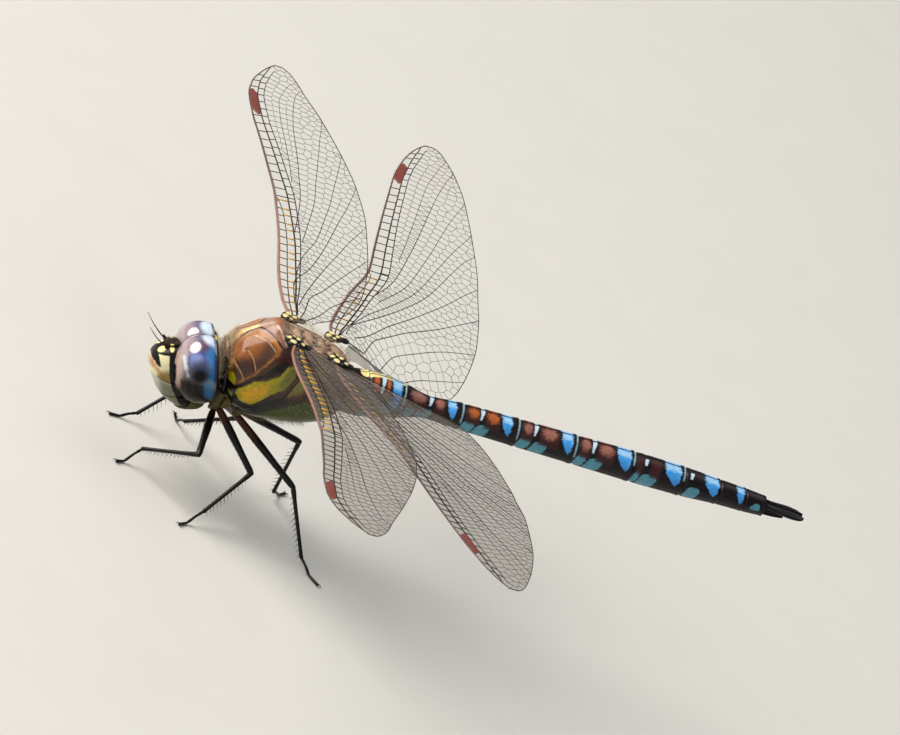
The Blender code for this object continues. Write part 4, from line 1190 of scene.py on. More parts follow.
FOREWING_STATIONS = (  # y, leading x, trailing x, height
    (1.5, -0.15, -1.9, -0.15), (2.6, 0.0, -2.3, 0.0), (3.4, 0.1, -3.4, 0.1), (4.6, 0.1, -4.9, 0.23),
    (6.4, 0.12, -6.3, 0.45), (9.0, 0.15, -7.6, 0.75), (12.0, 0.2, -8.3, 1.1), (16.0, 0.22, -8.75, 1.56),
    (21.0, 0.25, -8.85, 2.14), (25.5, 0.7, -8.25, 2.72), (29.5, 1.2, -7.25, 3.24), (33.0, 1.7, -6.1, 3.69),
    (36.0, 1.85, -5.0, 4.03), (38.5, 1.35, -4.0, 4.22), (40.5, 0.35, -3.3, 4.38), (41.8, -0.6, -2.6, 4.5),
    (42.5, -1.3, -1.9, 4.55),
)
HINDWING_STATIONS = (
    (1.6, -4.15, -5.7, -0.72), (2.6, -4.15, -6.6, -0.68), (2.9, -4.2, -10.5, -0.67),
    (3.1, -4.25, -14.6, -0.66), (3.5, -4.35, -16.8, -0.65), (4.5, -4.6, -17.7, -0.62),
    (6.0, -5.1, -18.5, -0.58), (8.5, -6.0, -19.3, -0.5), (12.0, -7.25, -20.05, -0.38),
    (16.6, -9.1, -20.4, -0.22), (21.0, -9.95, -20.4, 0.33), (25.5, -10.85, -20.1, 0.9),
    (29.5, -11.7, -19.75, 1.42), (33.0, -12.5, -19.3, 1.87), (36.0, -13.6, -18.75, 2.08),
    (38.2, -14.7, -18.15, 2.15), (39.6, -15.7, -17.6, 2.19), (40.2, -16.3, -17.0, 2.2),
)
FOREWING_DROOP = ((1.5, 0.05), (12.0, 0.05), (27.0, 0.0), (43.0, 0.0))  # y, fall per unit of chord
HINDWING_DROOP = ((1.5, 0.15), (12.0, 0.13), (24.0, 0.04), (32.0, 0.0), (43.0, 0.0))
WING_SWINGS = {  # degrees forward about the root
    ("fore", "left"): -0.3,
    ("fore", "right"): 1.0,
    ("hind", "left"): 0.9,
    ("hind", "right"): 0.0,
}
VEIN_RADII = {
    "radius": 0.085, "subcosta": 0.06, "first_branch": 0.06, "between": 0.035, "second_branch": 0.045,
    "third_between": 0.04, "third_branch": 0.045, "media_front": 0.05, "media_rear": 0.05, "cubitus": 0.055,
    "anal": 0.05, "anal_first": 0.045, "anal_second": 0.045,
}
VEINS_IN_MM = ("radius", "subcosta", "first_branch")  # the routes of the others are in shares of the chord
FORE_VEINS = {  # span, and how far back from the front edge
    "radius": (
        (2.2, 0.75), (5, 1.45), (9, 1.85), (14, 1.75), (21, 1.4), (30, 1.05), (37, 0.9), (40.6, 0.5),
        (41.8, 0.15),
    ),
    "subcosta": ((2.2, 0.42), (5, 0.8), (9, 1.0), (14, 0.95), (18, 0.8), (20.3, 0.5), (21.1, 0.12)),
    "first_branch": (
        (2.3, 0.8), (5, 1.6), (9, 2.25), (14, 2.3), (21, 2.1), (30, 1.7), (36, 1.55), (39, 1.35), (41.3, 0.9),
    ),
    "between": ((24, 0.245), (30, 0.32), (36, 0.44), (39.5, 0.72), (40.6, 1.0)),
    "second_branch": ((16, 0.19), (21, 0.28), (27, 0.38), (33, 0.52), (38, 0.78), (39.4, 1.0)),
    "third_between": ((15, 0.27), (20, 0.40), (26, 0.56), (31, 0.76), (35.2, 1.0)),
    "third_branch": ((7.5, 0.2), (12, 0.26), (16, 0.43), (21, 0.58), (26, 0.77), (30.5, 1.0)),
    "media_front": ((5.2, 0.22), (8, 0.2), (11, 0.36), (16, 0.55), (21, 0.74), (26, 1.0)),
    "media_rear": ((5.0, 0.3), (9, 0.42), (13, 0.58), (17, 0.78), (20.5, 1.0)),
    "cubitus": ((2.3, 0.45), (6, 0.42), (8.5, 0.56), (12, 0.76), (15.5, 1.0)),
    "anal": ((2.3, 0.7), (5.5, 0.72), (7.5, 0.82), (9.5, 1.0)),
}
HIND_VEINS = {
    "radius": (
        (2.2, 0.7), (6, 1.5), (10, 1.7), (16.6, 1.3), (26, 1.05), (34, 0.9), (38.4, 0.5), (39.4, 0.15),
    ),
    "subcosta": ((2.2, 0.4), (5, 0.75), (10, 0.9), (13.5, 0.8), (15.8, 0.5), (16.5, 0.1)),
    "first_branch": (
        (2.3, 0.75), (5.5, 1.7), (9, 2.15), (16.6, 2.05), (26, 1.65), (34, 1.45), (37.5, 1.25), (39.2, 0.85),
    ),
    "between": ((20, 0.25), (26, 0.34), (32, 0.46), (36.5, 0.72), (38.3, 1.0)),
    "second_branch": ((13, 0.17), (18, 0.27), (24, 0.40), (30, 0.56), (34.5, 0.8), (36.3, 1.0)),
    "third_between": ((12, 0.22), (16, 0.34), (22, 0.52), (28, 0.75), (31.8, 1.0)),
    "third_branch": ((6, 0.13), (9, 0.2), (13, 0.34), (18, 0.51), (23, 0.72), (27.3, 1.0)),
    "media_front": (
        (4.2, 0.13), (6, 0.14), (9, 0.26), (13, 0.42), (18, 0.62), (22.9, 0.87), (24.3, 1.0),
    ),
    "media_rear": ((4.5, 0.2), (6.5, 0.28), (10, 0.42), (14, 0.60), (18, 0.84), (19.9, 1.0)),
    "cubitus": ((2.9, 0.30), (6, 0.32), (8, 0.44), (11, 0.64), (14, 0.86), (15.6, 1.0)),
    "anal_first": ((3.2, 0.45), (5.5, 0.48), (7, 0.62), (8.8, 0.82), (10.2, 1.0)),
    "anal_second": ((3.3, 0.62), (4.6, 0.72), (5.6, 0.88), (6.3, 1.0)),
}
WINGS = {  # stations, droop, veins, nodus, spot on the front edge, first struts, bow of the front edge
    "fore": (FOREWING_STATIONS, FOREWING_DROOP, FORE_VEINS, 21.14, (33.4, 37.0), 3.6, 0.6),
    "hind": (HINDWING_STATIONS, HINDWING_DROOP, HIND_VEINS, 16.6, (32.0, 35.2), 4.2, 0.4),
}
BOW_PLACE = (7.5, 5.5)  # span at which the front edge bows most, and how far the bow reaches
INNER_FOLDS = {"left": 0.1, "right": 2.1}  # how far each hindwing's inner corner folds down beside the body
COSTA_RADIUS = 0.12
MEMBRANULE_WIDTH = 1.9
MARGIN_RADIUS = 0.04
STRUT_RADIUS = 0.045
CELL_RADIUS = 0.021
LADDER_STEP = 1.12
TOOTH_STEP = 0.42  # between the fine teeth of the front edge
# The net of cells grows from seeds. The sizes of the next five are in cells.
ROW_STEP = 0.72  # between the seeds that line a vein
ROW_INSET = 0.42  # from a vein to the seeds that line it
SEED_SPACING = 0.86  # least distance between two seeds
SNAP_REACH = 0.3  # a wall that ends this close to a vein is drawn up to it
LONGEST_WALL = 2.5
SHORTEST_WALL = 0.06
SLIVER = 1e-6  # twice the area in square mm below which a triangle has no centre of its own
FARTHEST_CENTRE = 1.5  # mm from the triangle's middle
SEED_TRIES = 26000
WING_SEEDS = {"fore": 7, "hind": 11}  # random seed of each net


class WingPlan:
    """One left wing laid flat: x forward, y outward, with what lifts it into the body frame."""

    def __init__(self, pair):
        self.stations, self.droop, veins, self.nodus, self.spot, self.first_strut, self.bow = WINGS[pair]
        self.pair = pair
        self.first = 2.2
        self.last = self.stations[-1][0] - 2 * MARGIN_RADIUS
        self.veins = {name: (self.route(name, table), VEIN_RADII[name]) for name, table in veins.items()}

    def edges(self, y):
        """The front edge, the rear edge and the height at the given spans."""
        leading, trailing, height = curve_through(self.stations, y).T
        y = np.atleast_1d(y)
        bow = self.bow * np.exp(-(((y - BOW_PLACE[0]) / BOW_PLACE[1]) ** 2)) * smooth_step(y, 2.0, 5.0)
        return leading + bow, trailing, height

    def route(self, name, table):
        """A vein's path in steps of 0.3 mm of span."""
        y = np.arange(table[0][0], table[-1][0], 0.3)
        y = np.append(y, table[-1][0])
        back = curve_through(table, y)[:, 0]
        leading, trailing, _ = self.edges(y)
        x = leading - (back if name in VEINS_IN_MM else back * (leading - trailing))
        return rows_of(x, y)

    def at(self, name, y):
        """Where a vein lies along x at the given places."""
        route = self.veins[name][0]
        return np.interp(y, route[:, 1], route[:, 0])

    def margin(self):
        """The wing's outline, out along the front edge and back along the rear."""
        y = self.first + (self.last - self.first) * np.sin(np.linspace(0.0, math.pi / 2, 150))
        leading, trailing, _ = self.edges(y)
        front = rows_of(leading, y)
        rear = rows_of(trailing, y)[::-1]
        return np.concatenate((front, rear))

    def lifted(self, flat, side, rise=0.0):
        """Flat places set into the body frame on the given side."""
        flat = np.asarray(flat, float)
        x, y = flat[:, 0], flat[:, 1]
        leading, _, height = self.edges(y)
        z = height - np.interp(y, *zip(*self.droop)) * (leading - x) + rise
        if self.pair == "hind":
            z -= INNER_FOLDS[side] * smooth_step(-x, 6.0, 11.0) * (1.0 - smooth_step(y, 2.4, 9.0))
        sign = SIDES[side]
        root = np.array((self.stations[1][1], self.stations[1][0] * sign, 0.0))
        angle = -math.radians(WING_SWINGS[(self.pair, side)]) * sign
        c, s = math.cos(angle), math.sin(angle)
        swing = np.array(((c, -s, 0.0), (s, c, 0.0), (0.0, 0.0, 1.0)))
        return (rows_of(x, y * sign, z) - root) @ swing.T + root


def crossings(starts, ends, route):
    """Which of the straight runs cross a route."""
    a, b = starts[:, None], ends[:, None]
    c, d = route[:-1][None], route[1:][None]

    def turn(p, q, r):
        to_q, to_r = q - p, r - p
        return to_q[..., 0] * to_r[..., 1] - to_q[..., 1] * to_r[..., 0]

    return ((turn(a, b, c) * turn(a, b, d) < 0) & (turn(c, d, a) * turn(c, d, b) < 0)).any(axis=1)


def nearest_on(points, route):
    """The closest place on a route to each point, and how far away it is."""
    start, run = route[:-1][None], (route[1:] - route[:-1])[None]
    t = np.clip(((points[:, None] - start) * run).sum(-1) / ((run * run).sum(-1) + TINY), 0.0, 1.0)
    spots = start + t[..., None] * run
    away = norm(points[:, None] - spots, axis=-1)
    best = away.argmin(axis=1)
    rows = np.arange(len(points))
    return spots[rows, best], away[rows, best]


def walked(route, step):
    """Places along a route, a step apart, and the way across it there."""
    length = np.concatenate(([0.0], np.cumsum(norm(np.diff(route, axis=0), axis=1))))
    at, stops = step / 2, []
    while at < length[-1]:
        stops.append(at)
        at += step
    stops = np.array(stops)

    def places(stops):
        return np.stack([np.interp(stops, length, route[:, axis]) for axis in (0, 1)], axis=1)

    ahead = unit(places(stops + 0.05) - places(stops - 0.05))
    return places(stops), rows_of(-ahead[:, 1], ahead[:, 0])


def cell_walls(plan, cell, draw):
    """Walls of the wing's net of cells: a Voronoi net whose walls end on the main veins and the margin."""
    margin = plan.margin()
    outline = np.concatenate((margin, margin[:1]))

    def size_at(places):
        leading, trailing, _ = plan.edges(places[:, 1])
        share = np.clip((leading - places[:, 0]) / (leading - trailing + 1e-9), 0.0, 1.0)
        return cell * (1.05 - 0.4 * share - 0.12 * places[:, 1] / plan.last)

    routes = [route for name, (route, _) in plan.veins.items() if name not in ("radius", "subcosta")]
    routes.append(outline)
    rows = []
    for route in routes:
        places, across = walked(route, cell * ROW_STEP)
        for sign in (1.0, -1.0):
            rows.append(places + across * sign * size_at(places)[:, None] * ROW_INSET)
    seeds = np.concatenate(rows)
    low, high = margin.min(axis=0), margin.max(axis=0)
    tries = low + draw.random((SEED_TRIES, 2)) * (high - low)
    tries = tries[inside_polygon(tries[:, 0], tries[:, 1], margin) > 0]
    for spot, reach in zip(tries, size_at(tries) * SEED_SPACING):
        if np.hypot(*(seeds - spot).T).min() > reach:
            seeds = np.concatenate((seeds, spot[None]))
    inner = inside_polygon(seeds[:, 0], seeds[:, 1], margin) > 0
    inner &= seeds[:, 0] < plan.at("first_branch", seeds[:, 1])
    cut = geometry.delaunay_2d_cdt([Vector(seed) for seed in seeds], [], [], 0, 1e-4)
    spots = np.array([tuple(v) for v in cut[0]])
    origin = np.array([group[0] if group else -1 for group in cut[3]])
    inner = inner[origin]
    triangles = np.array([tuple(face) for face in cut[2]])
    centre = circle_centres(*spots[triangles.T])
    walls = {}
    for index, corners in enumerate(triangles.tolist()):
        for i in range(3):
            key = tuple(sorted((corners[i], corners[(i + 1) % 3])))
            walls.setdefault(key, []).append(index)
    pairs = [(key, group) for key, group in walls.items() if len(group) == 2]
    seeds_at = np.array([key for key, _ in pairs])
    sides_at = np.array([group for _, group in pairs])
    keep = inner[seeds_at].all(axis=1)
    starts, ends = spots[seeds_at[:, 0]], spots[seeds_at[:, 1]]
    for route in routes:
        keep &= ~crossings(starts, ends, route)
    first, last = centre[sides_at[keep, 0]], centre[sides_at[keep, 1]]
    for route in routes:
        for wall_ends in (first, last):
            nearest, away = nearest_on(wall_ends, route)
            close = away < cell * SNAP_REACH
            wall_ends[close] = nearest[close]
    middle = (first + last) / 2
    length = norm(first - last, axis=1)
    good = (length > SHORTEST_WALL) & (length < LONGEST_WALL * cell)
    good &= inside_polygon(middle[:, 0], middle[:, 1], margin) > 0.02
    return first[good], last[good]


def circle_centres(a, b, c):
    """Centres of the circles through three corners; a sliver gives its own middle."""
    (px, py), (qx, qy) = (b - a).T, (c - a).T
    area = 2 * (px * qy - py * qx)
    sliver = np.abs(area) < SLIVER
    safe = np.where(sliver, 1.0, area)
    p, q = px**2 + py**2, qx**2 + qy**2
    centre = a + rows_of((qy * p - py * q) / safe, (px * q - qx * p) / safe)
    middle = (a + b + c) / 3
    far = sliver | (norm(centre - middle, axis=1) > FARTHEST_CENTRE)
    return np.where(far[:, None], middle, centre)


def struts(plan):
    """The ladder of short struts along the front edge, dark and yellow: their starts and their ends."""
    dark, yellow = [], []
    y = np.arange(plan.first_strut, plan.nodus - 0.6, LADDER_STEP)
    for index, (at, edge) in enumerate(zip(y, plan.edges(y)[0])):
        below, behind = plan.at("subcosta", at), plan.at("radius", at)
        shift = 0.2 * (index % 2)
        dark.append(((edge, at), (below, at + 0.05)))
        yellow.append(((below, at + 0.05 + shift), (behind, at + 0.1 + shift)))
    for at in np.arange(plan.nodus + 1.2, plan.last - 1.5, LADDER_STEP * 1.05):
        if plan.spot[0] - 0.4 < at < plan.spot[1] + 0.4:
            continue
        dark.append(((plan.edges([at])[0][0], at), (plan.at("radius", at), at + 0.15)))
    for at in np.arange(plan.first_strut + 1.5, plan.last - 1.5, LADDER_STEP):
        dark.append(((plan.at("radius", at), at), (plan.at("first_branch", at), at + 0.12)))
    at = plan.nodus
    dark.append(((plan.edges([at])[0][0], at), (plan.at("first_branch", at), at + 0.25)))
    return np.array(dark).transpose(1, 0, 2), np.array(yellow).transpose(1, 0, 2)


def membrane_form(plan, side, rows=190, columns=30):
    """The clear sheet between the veins, slightly pleated along them."""
    y = plan.first + (plan.last - plan.first) * np.sin(np.linspace(0.0, math.pi / 2, rows))
    leading, trailing, _ = plan.edges(y)
    share = np.linspace(0.0, 1.0, columns)
    x = leading[:, None] + (trailing - leading)[:, None] * share
    flat = rows_of(x, y[:, None]).reshape(-1, 2)
    pleat = 0.035 * np.sin(share * 2 * math.pi * 6) * np.exp(-share * 2.5)
    points = plan.lifted(flat, side, np.tile(pleat, rows))
    return Form(points, [band_faces(rows, columns, closed=False)])


def veins_form(plan, side):
    """The main veins and the rear margin."""
    margin = plan.margin()
    rear = margin[len(margin) // 2 - 3 :].copy()
    rear[:, 0] += MARGIN_RADIUS
    forms = [tube(plan.lifted(rear[::2], side), MARGIN_RADIUS, 6)]
    for route, radius in plan.veins.values():
        taper = np.linspace(1.0, 0.6, len(route)) * radius
        forms.append(tube(plan.lifted(route, side), taper, 8))
    return joined(forms)


def front_edge_form(plan, side):
    """The thick vein of the front edge, with the fine teeth that stand along it."""
    y = np.linspace(plan.first, plan.last, 140)
    leading = plan.edges(y)[0]
    inset = COSTA_RADIUS * np.interp(y, (plan.first, plan.nodus, plan.last), (1.25, 1.0, 0.42))
    path = plan.lifted(rows_of(leading - inset, y), side)
    form = tube(path, inset, 10)
    form.fields["pale"] = (plan.nodus - np.abs(form.points[:, 1])) * 0.2
    at = np.arange(plan.first + 1, plan.last - 2, TOOTH_STEP)
    teeth = plan.lifted(rows_of(plan.edges(at)[0] - 0.04, at), side)
    ways = np.tile((0.85, 0.45 * SIDES[side], 0.2), (len(at), 1))
    return joined([form, strands(teeth, ways, 0.16, 0.03, np.zeros(3))])


def membranule_form(plan, side, rows=24, columns=8):
    """The smoky flap that hangs from the hindwing's inner margin towards the body."""
    spans = np.linspace(1.75, 2.95, rows)
    places = []
    for share, x, y in zip(np.linspace(0.0, 1.0, rows), plan.edges(spans)[1], spans):
        wide = MEMBRANULE_WIDTH * (0.1 + 0.9 * math.sin(math.pi * min(share * 1.1, 1.0)) ** 0.7)
        hang = np.linspace(0.0, wide, columns)
        places.append(plan.lifted(rows_of(x, y - 0.75 * hang), side, -0.65 * hang))
    return Form(np.concatenate(places), [band_faces(rows, columns, closed=False)])


def bars_form(plan, side, ends, radius, rise=0.0):
    """Thin bars between pairs of flat places on a wing."""
    first, last = ends
    return bars(plan.lifted(first, side, rise), plan.lifted(last, side, rise), radius)


def spot_form(plan, side, rings=40, sides=16):
    """The dark spot on the front edge near the tip: a thickened cell, opaque and reddish."""
    y = np.linspace(*plan.spot, rings)
    leading = plan.edges(y)[0] - COSTA_RADIUS * 0.8
    behind = plan.at("radius", y)
    share = np.linspace(0, 1, rings)
    middle, half = (leading + behind) / 2, (leading - behind) / 2
    half = half * np.minimum(1.0, 0.25 + 12 * np.minimum(share, 1 - share))
    angle = turns(sides)
    rows = []
    for at, mid, reach in zip(y, middle, half):
        x = mid + reach * signed_power(np.cos(angle), 0.7)
        shift = at + 0.25 * np.cos(angle)
        rise = 0.07 * signed_power(np.sin(angle), 0.8)
        rows.append(plan.lifted(rows_of(x, shift), side, rise))
    return lofted(np.array(rows))


def membrane_finish():
    """Dried wing membrane: a two-micron film that passes nearly all light and shines only at a slant.
    A faint smoke tint and shallow pleats keep it from reading as empty air."""
    material = bpy.data.materials.new("Dried wing membrane")
    material.use_nodes = True
    tree = material.node_tree
    place = add_node(tree, "Attribute", {"attribute_name": "body_mm"}, output="Vector")
    smoke = {"data_type": "RGBA", 6: linear("#8E8A84"), 7: linear("#645650")}
    tint = add_node(tree, "Mix", smoke, {0: grain(tree, place, 4.0)}, output=2)
    ripple = {"Strength": 0.6, "Distance": 0.05 * MM}
    bump = add_node(tree, "Bump", ripple, {"Height": grain(tree, place, 0.8)})
    slant = add_node(tree, "Fresnel", {"IOR": 1.5})
    veil = {"From Min": 0.03, "From Max": 0.9, "To Min": 0.045, "To Max": 0.5}
    body = add_node(tree, "MapRange", veil, {"Value": slant})
    even = {"Roughness": 0.16, "IOR": 1.56, "Specular IOR Level": 0.9}
    varied = {"Base Color": tint, "Normal": bump, "Alpha": body}
    set_up(tree, tree.nodes["Principled BSDF"], even, varied)
    return material


# --- legs ---

# share of the length, radius
FEMUR_PROFILE = ((0.0, 0.24), (0.06, 0.33), (0.35, 0.37), (0.8, 0.3), (0.95, 0.3), (1.0, 0.24))
TIBIA_PROFILE = ((0.0, 0.2), (0.06, 0.24), (0.2, 0.19), (0.85, 0.17), (1.0, 0.19))
THIGH_SPINES = (0.3, 0.55, 13)  # limb's radius, share of the spine length, spines in a row
SHIN_SPINES = (0.18, 1.0, 12)
SPINE_RADIUS = 0.035
LEG_SEED = 23
TARSUS_RADIUS = 0.14
BARE_THIGH = {"fore": 0.6, "middle": 1.4, "hind": 2.6}  # how far the red-brown reaches from the hip
FOOT_JOINTS = ((0.0, 0.2), (0.22, 0.52), (0.54, 0.97))  # shares of the foot's length
CLAW_LENGTH = 0.55


def meeting_place(node, neighbour):
    """The middle of the face that one limb turns to the next."""
    own, other = node_points(node), node_points(neighbour)
    away = norm(own[:, None] - other[None], axis=-1).min(axis=1)
    return own[away <= np.sort(away)[min(7, len(away) - 1)] + 0.02].mean(axis=0)


def leg_route(label):
    """Hip, knee and ankle in the body frame, and the foot's path down to its tip."""
    joints = (("femur_", "coxa_"), ("femur_", "tibia_"), ("tarsus_", "tibia_"))
    hip, knee, ankle = [meeting_place(own + label, other + label) for own, other in joints]
    foot = raw_points("tarsus_" + label)
    high = to_floor(ankle) / MM
    far = foot[norm(foot - high, axis=1).argmax()]
    end = np.array((far[0], far[1], TARSUS_RADIUS))
    touch = high + (end - high) * 0.6
    touch[2] = TARSUS_RADIUS
    arch = (high + touch) / 2
    arch[2] += 0.06 * high[2]
    shares = np.linspace(0.0, 1.0, 25)
    path = curve_through([(0.0, *high), (0.3, *arch), (0.6, *touch), (1.0, *end)], shares)
    return hip, knee, ankle, to_body(path)


def limb_form(start, end, profile, rings=26, sides=20):
    shares = np.linspace(0.0, 1.0, rings)
    return tube(start + (end - start) * shares[:, None], curve_through(profile, shares)[:, 0], sides)


def spine_form(start, end, spines, length, draw):
    """Two rows of stiff spines down a limb, longest in its middle."""
    radius, part, count = spines
    run = end - start
    ahead = unit(run)
    down = np.array((0.0, 0.0, -1.0)) @ BODY_TURN
    across = unit(np.cross(ahead, down))
    down = np.cross(across, ahead) * np.sign(np.cross(across, ahead) @ down)
    roots, ways, lengths = [], [], []
    for sign in (1.0, -1.0):
        for share in np.linspace(0.12, 0.94, count):
            way = unit(0.75 * down + sign * 0.7 * across + 0.45 * ahead)
            roots.append(start + run * (share + 0.01 * draw.random()) + way * radius * 0.6)
            ways.append(way)
            size = (0.55 + 0.45 * math.sin(share * math.pi)) * (0.9 + 0.2 * draw.random())
            lengths.append(length * part * size)
    return strands(np.array(roots), np.array(ways), np.array(lengths), SPINE_RADIUS, ahead * 0.12)


def foot_form(path):
    """A foot of three joints with two hooked claws."""
    count = len(path)
    forms = []
    for low, high in FOOT_JOINTS:
        part = path[int(low * (count - 1)) : int(high * (count - 1)) + 1]
        shares = np.linspace(0, 1, len(part))
        forms.append(tube(part, TARSUS_RADIUS * (0.8 + 0.2 * shares), 14))
    tip, ahead = path[-1], unit(path[-1] - path[-3])
    up = np.array((0.0, 0.0, 1.0)) @ BODY_TURN
    across = np.cross(ahead, up)
    for sign in (1.0, -1.0):
        shares = np.linspace(0.0, 1.0, 8)
        reach = ahead * CLAW_LENGTH * 0.62 + across * sign * CLAW_LENGTH * 0.5
        claw = tip - ahead * 0.15 + reach * shares[:, None] + up * (0.09 * np.sin(shares * math.pi))[:, None]
        claw -= up * (0.04 * shares**2)[:, None]
        forms.append(tube(claw, 0.075 - 0.055 * shares, 8))
    return joined(forms)


# --- hair ---

COATS = {  # piece: station from, to, degrees from, to, share of the length, lean rearward, share of the count
    "hair_front": (3.3, 4.25, 0, 72, 0.62, -0.2, 0.1),
    "hair_back": (-5.8, 0.4, 0, 28, 0.55, 0.4, 0.05),
    "hair_flank": (-6.2, -1.5, 98, 130, 0.35, 0.6, 0.02),
    "hair_breast": (-4.0, 4.2, 130, 180, 0.6, 0.5, 0.1),
}
FUZZ = {  # piece: solid, slot, hair length, count, lean, lowest root, facing and its least share
    "hair_crown": ("vertex", "dark_cuticle", 0.5, 420, (0.1, 0, 0.3), -9.0, (0, 0, 1), -0.2),
    "hair_collar": ("prothorax", "thorax_cuticle", 0.7, 900, (0.2, 0, 0.2), -5.6, (1, 0, 0), -0.6),
    "hair_nape": ("head_capsule", "dark_cuticle", 0.45, 500, (-0.6, 0, 0.4), -4.4, (-1, 0, 0), -0.3),
}
HAIR_RADIUS = 0.008
HAIR_SEED = 41
FUZZ_RADIUS = 0.009
HAIR_SPREAD = 0.3  # how unevenly the hairs stand
TUFT_PATCH = 0.003  # width of a tuft's patch on the coat's map
TUFT_CORNERS = ((0, 0), (1, 0), (0.5, 1), (0, 0.4), (1, 0.4), (0.5, 0.7), (0.5, 0.5))  # on that patch


def tuft_places(middles):
    """Where the points of each hair lie on the coat's map, about the hair's own place."""
    return (middles[:, None] + (np.array(TUFT_CORNERS) - 0.5) * TUFT_PATCH).reshape(-1, 2)


def coat_form(coat, length, count, draw):
    """Fine hairs over a part of the thorax, each rooted in the skin, with the skin's own markings."""
    low, high, near, far, share, lean, part = COATS[coat]
    count = int(count * part)
    grid, station, degrees = thorax_grid(90, 144)
    normals = grid_normals(grid)
    rows, sides = station.shape
    inside = (station > low) & (station < high) & (degrees >= near) & (degrees < far)
    tall = norm(np.roll(grid, -1, axis=0) - grid, axis=-1)
    wide = norm(np.roll(grid, -1, axis=1) - grid, axis=-1)
    thinning = ((station - low) / (high - low)).clip(0.02, 1.0) ** 2 if coat == "hair_front" else 1.0
    weight = (np.minimum(tall, 0.4) * wide * thinning)[inside]
    places = np.argwhere(inside)
    picked = places[draw.choice(len(places), count, p=weight / weight.sum())]
    i, j = picked[:, 0].clip(0, rows - 2), picked[:, 1]
    s, t = draw.random(count), draw.random(count)
    k = (j + 1) % sides

    shares = ((i, j, (1 - s) * (1 - t)), (i + 1, j, s * (1 - t)), (i, k, (1 - s) * t), (i + 1, k, s * t))

    def mixed(values):
        return sum((values[row, side].T * share).T for row, side, share in shares)

    roots, outward = mixed(grid), mixed(normals)
    ways = outward + draw.normal(0.0, HAIR_SPREAD, (count, 3)) + np.array((-lean, 0.0, 0.0))
    lengths = length * share * (0.45 + 0.55 * draw.random(count))
    where, turn = mixed(station), np.abs(mixed(np.where(degrees > 179, 180.0, degrees)))
    form = strands(roots - 0.04 * outward, ways, lengths, HAIR_RADIUS, np.array((-0.12, 0.0, -0.1)))
    marks = side_fields(where, turn)
    marks["low"] = (turn - 118) * MM_PER_DEGREE
    form.fields = {name: np.repeat(marks[name], HAIR_POINTS) for name in ("copper", "stripe", "dark", "low")}
    u = (high - where) / (high - low) * 0.98 + 0.01
    v = ((j + t) / sides) * 0.98 + 0.01
    return form, tuft_places(rows_of(u, v))


def fuzz_form(piece, thinned, draw):
    """Short hairs over one side of a small skin."""
    node, _, length, count, lean, lowest, facing, least = FUZZ[piece]
    count //= thinned
    form = skin_of(node)
    quads = form.faces[-1]
    corners = form.points[quads]
    outward = np.cross(corners[:, 2] - corners[:, 0], corners[:, 3] - corners[:, 1])
    area = norm(outward, axis=1) + TINY
    outward = outward / area[:, None]
    weight = area * ((corners.mean(axis=1)[:, 2] > lowest) & (outward @ np.array(facing) > least))
    picked = draw.choice(len(quads), count, p=weight / weight.sum())
    s, t = draw.random((2, count, 1))
    a, b, c, d = corners[picked].transpose(1, 0, 2)
    roots = a * (1 - s) * (1 - t) + b * s * (1 - t) + c * s * t + d * (1 - s) * t
    outward = outward[picked]
    ways = outward + draw.normal(0.0, HAIR_SPREAD, (count, 3)) + np.array(lean)
    lengths = length * (0.4 + 0.6 * draw.random(count))
    hairs = strands(roots - 0.03 * outward, ways, lengths, FUZZ_RADIUS, np.array((0.0, 0.0, -0.15)))
    low, high = form.points.min(axis=0), form.points.max(axis=0)
    return hairs, tuft_places(0.02 + 0.96 * ((roots - low) / (high - low))[:, :2])


# --- stage ---

CAMERA_AIM = (-13.985, 3.032, 2.439)  # body frame, mm
FLOOR_SIZE = 3.0
LIGHTS = {  # name: way towards it over the floor, distance, width, power, colour
    "key": ((0.786, -0.174, 0.597), 0.9, 0.86, 14.5, "#FFF8EC"),
    "fill": ((0.2, 0.9, 0.4), 1.3, 1.7, 3.4, "#EEF4FF"),
    "top": ((-0.5, -0.4, 1.0), 1.2, 0.9, 3.0, "#FFFFFF"),
}
SKY = ("#E4E8EC", 0.14)  # colour, strength


def face_aim(item, aim, way, distance, roll=0.0):
    """Stands an object off from the aim, the given way, and turns it towards the aim."""
    way = Vector(way).normalized()
    turn = way.to_track_quat("Z", "Y").to_matrix().to_4x4() @ Matrix.Rotation(roll, 4, "Z")
    item.matrix_world = Matrix.Translation(aim + way * distance) @ turn


# --- operators ---


def settings():
    scene = bpy.context.scene
    return scene.dragonfly_colours, scene.dragonfly_sizes, scene.dragonfly_stage


DONE = {"FINISHED"}


class Step:
    """What every operator of this file shares."""

    bl_options = {"REGISTER", "UNDO"}


class DRAGONFLY_OT_eyes(Step, bpy.types.Operator):
    """Make the two compound eyes."""

    bl_idname = "dragonfly.eyes"
    bl_label = "Eyes"

    def execute(self, context):
        material = eye_finish()
        for side, sign in SIDES.items():
            make_piece("eye_skin_" + side, eye_form(sign), material, ["eye_" + side])
        return DONE


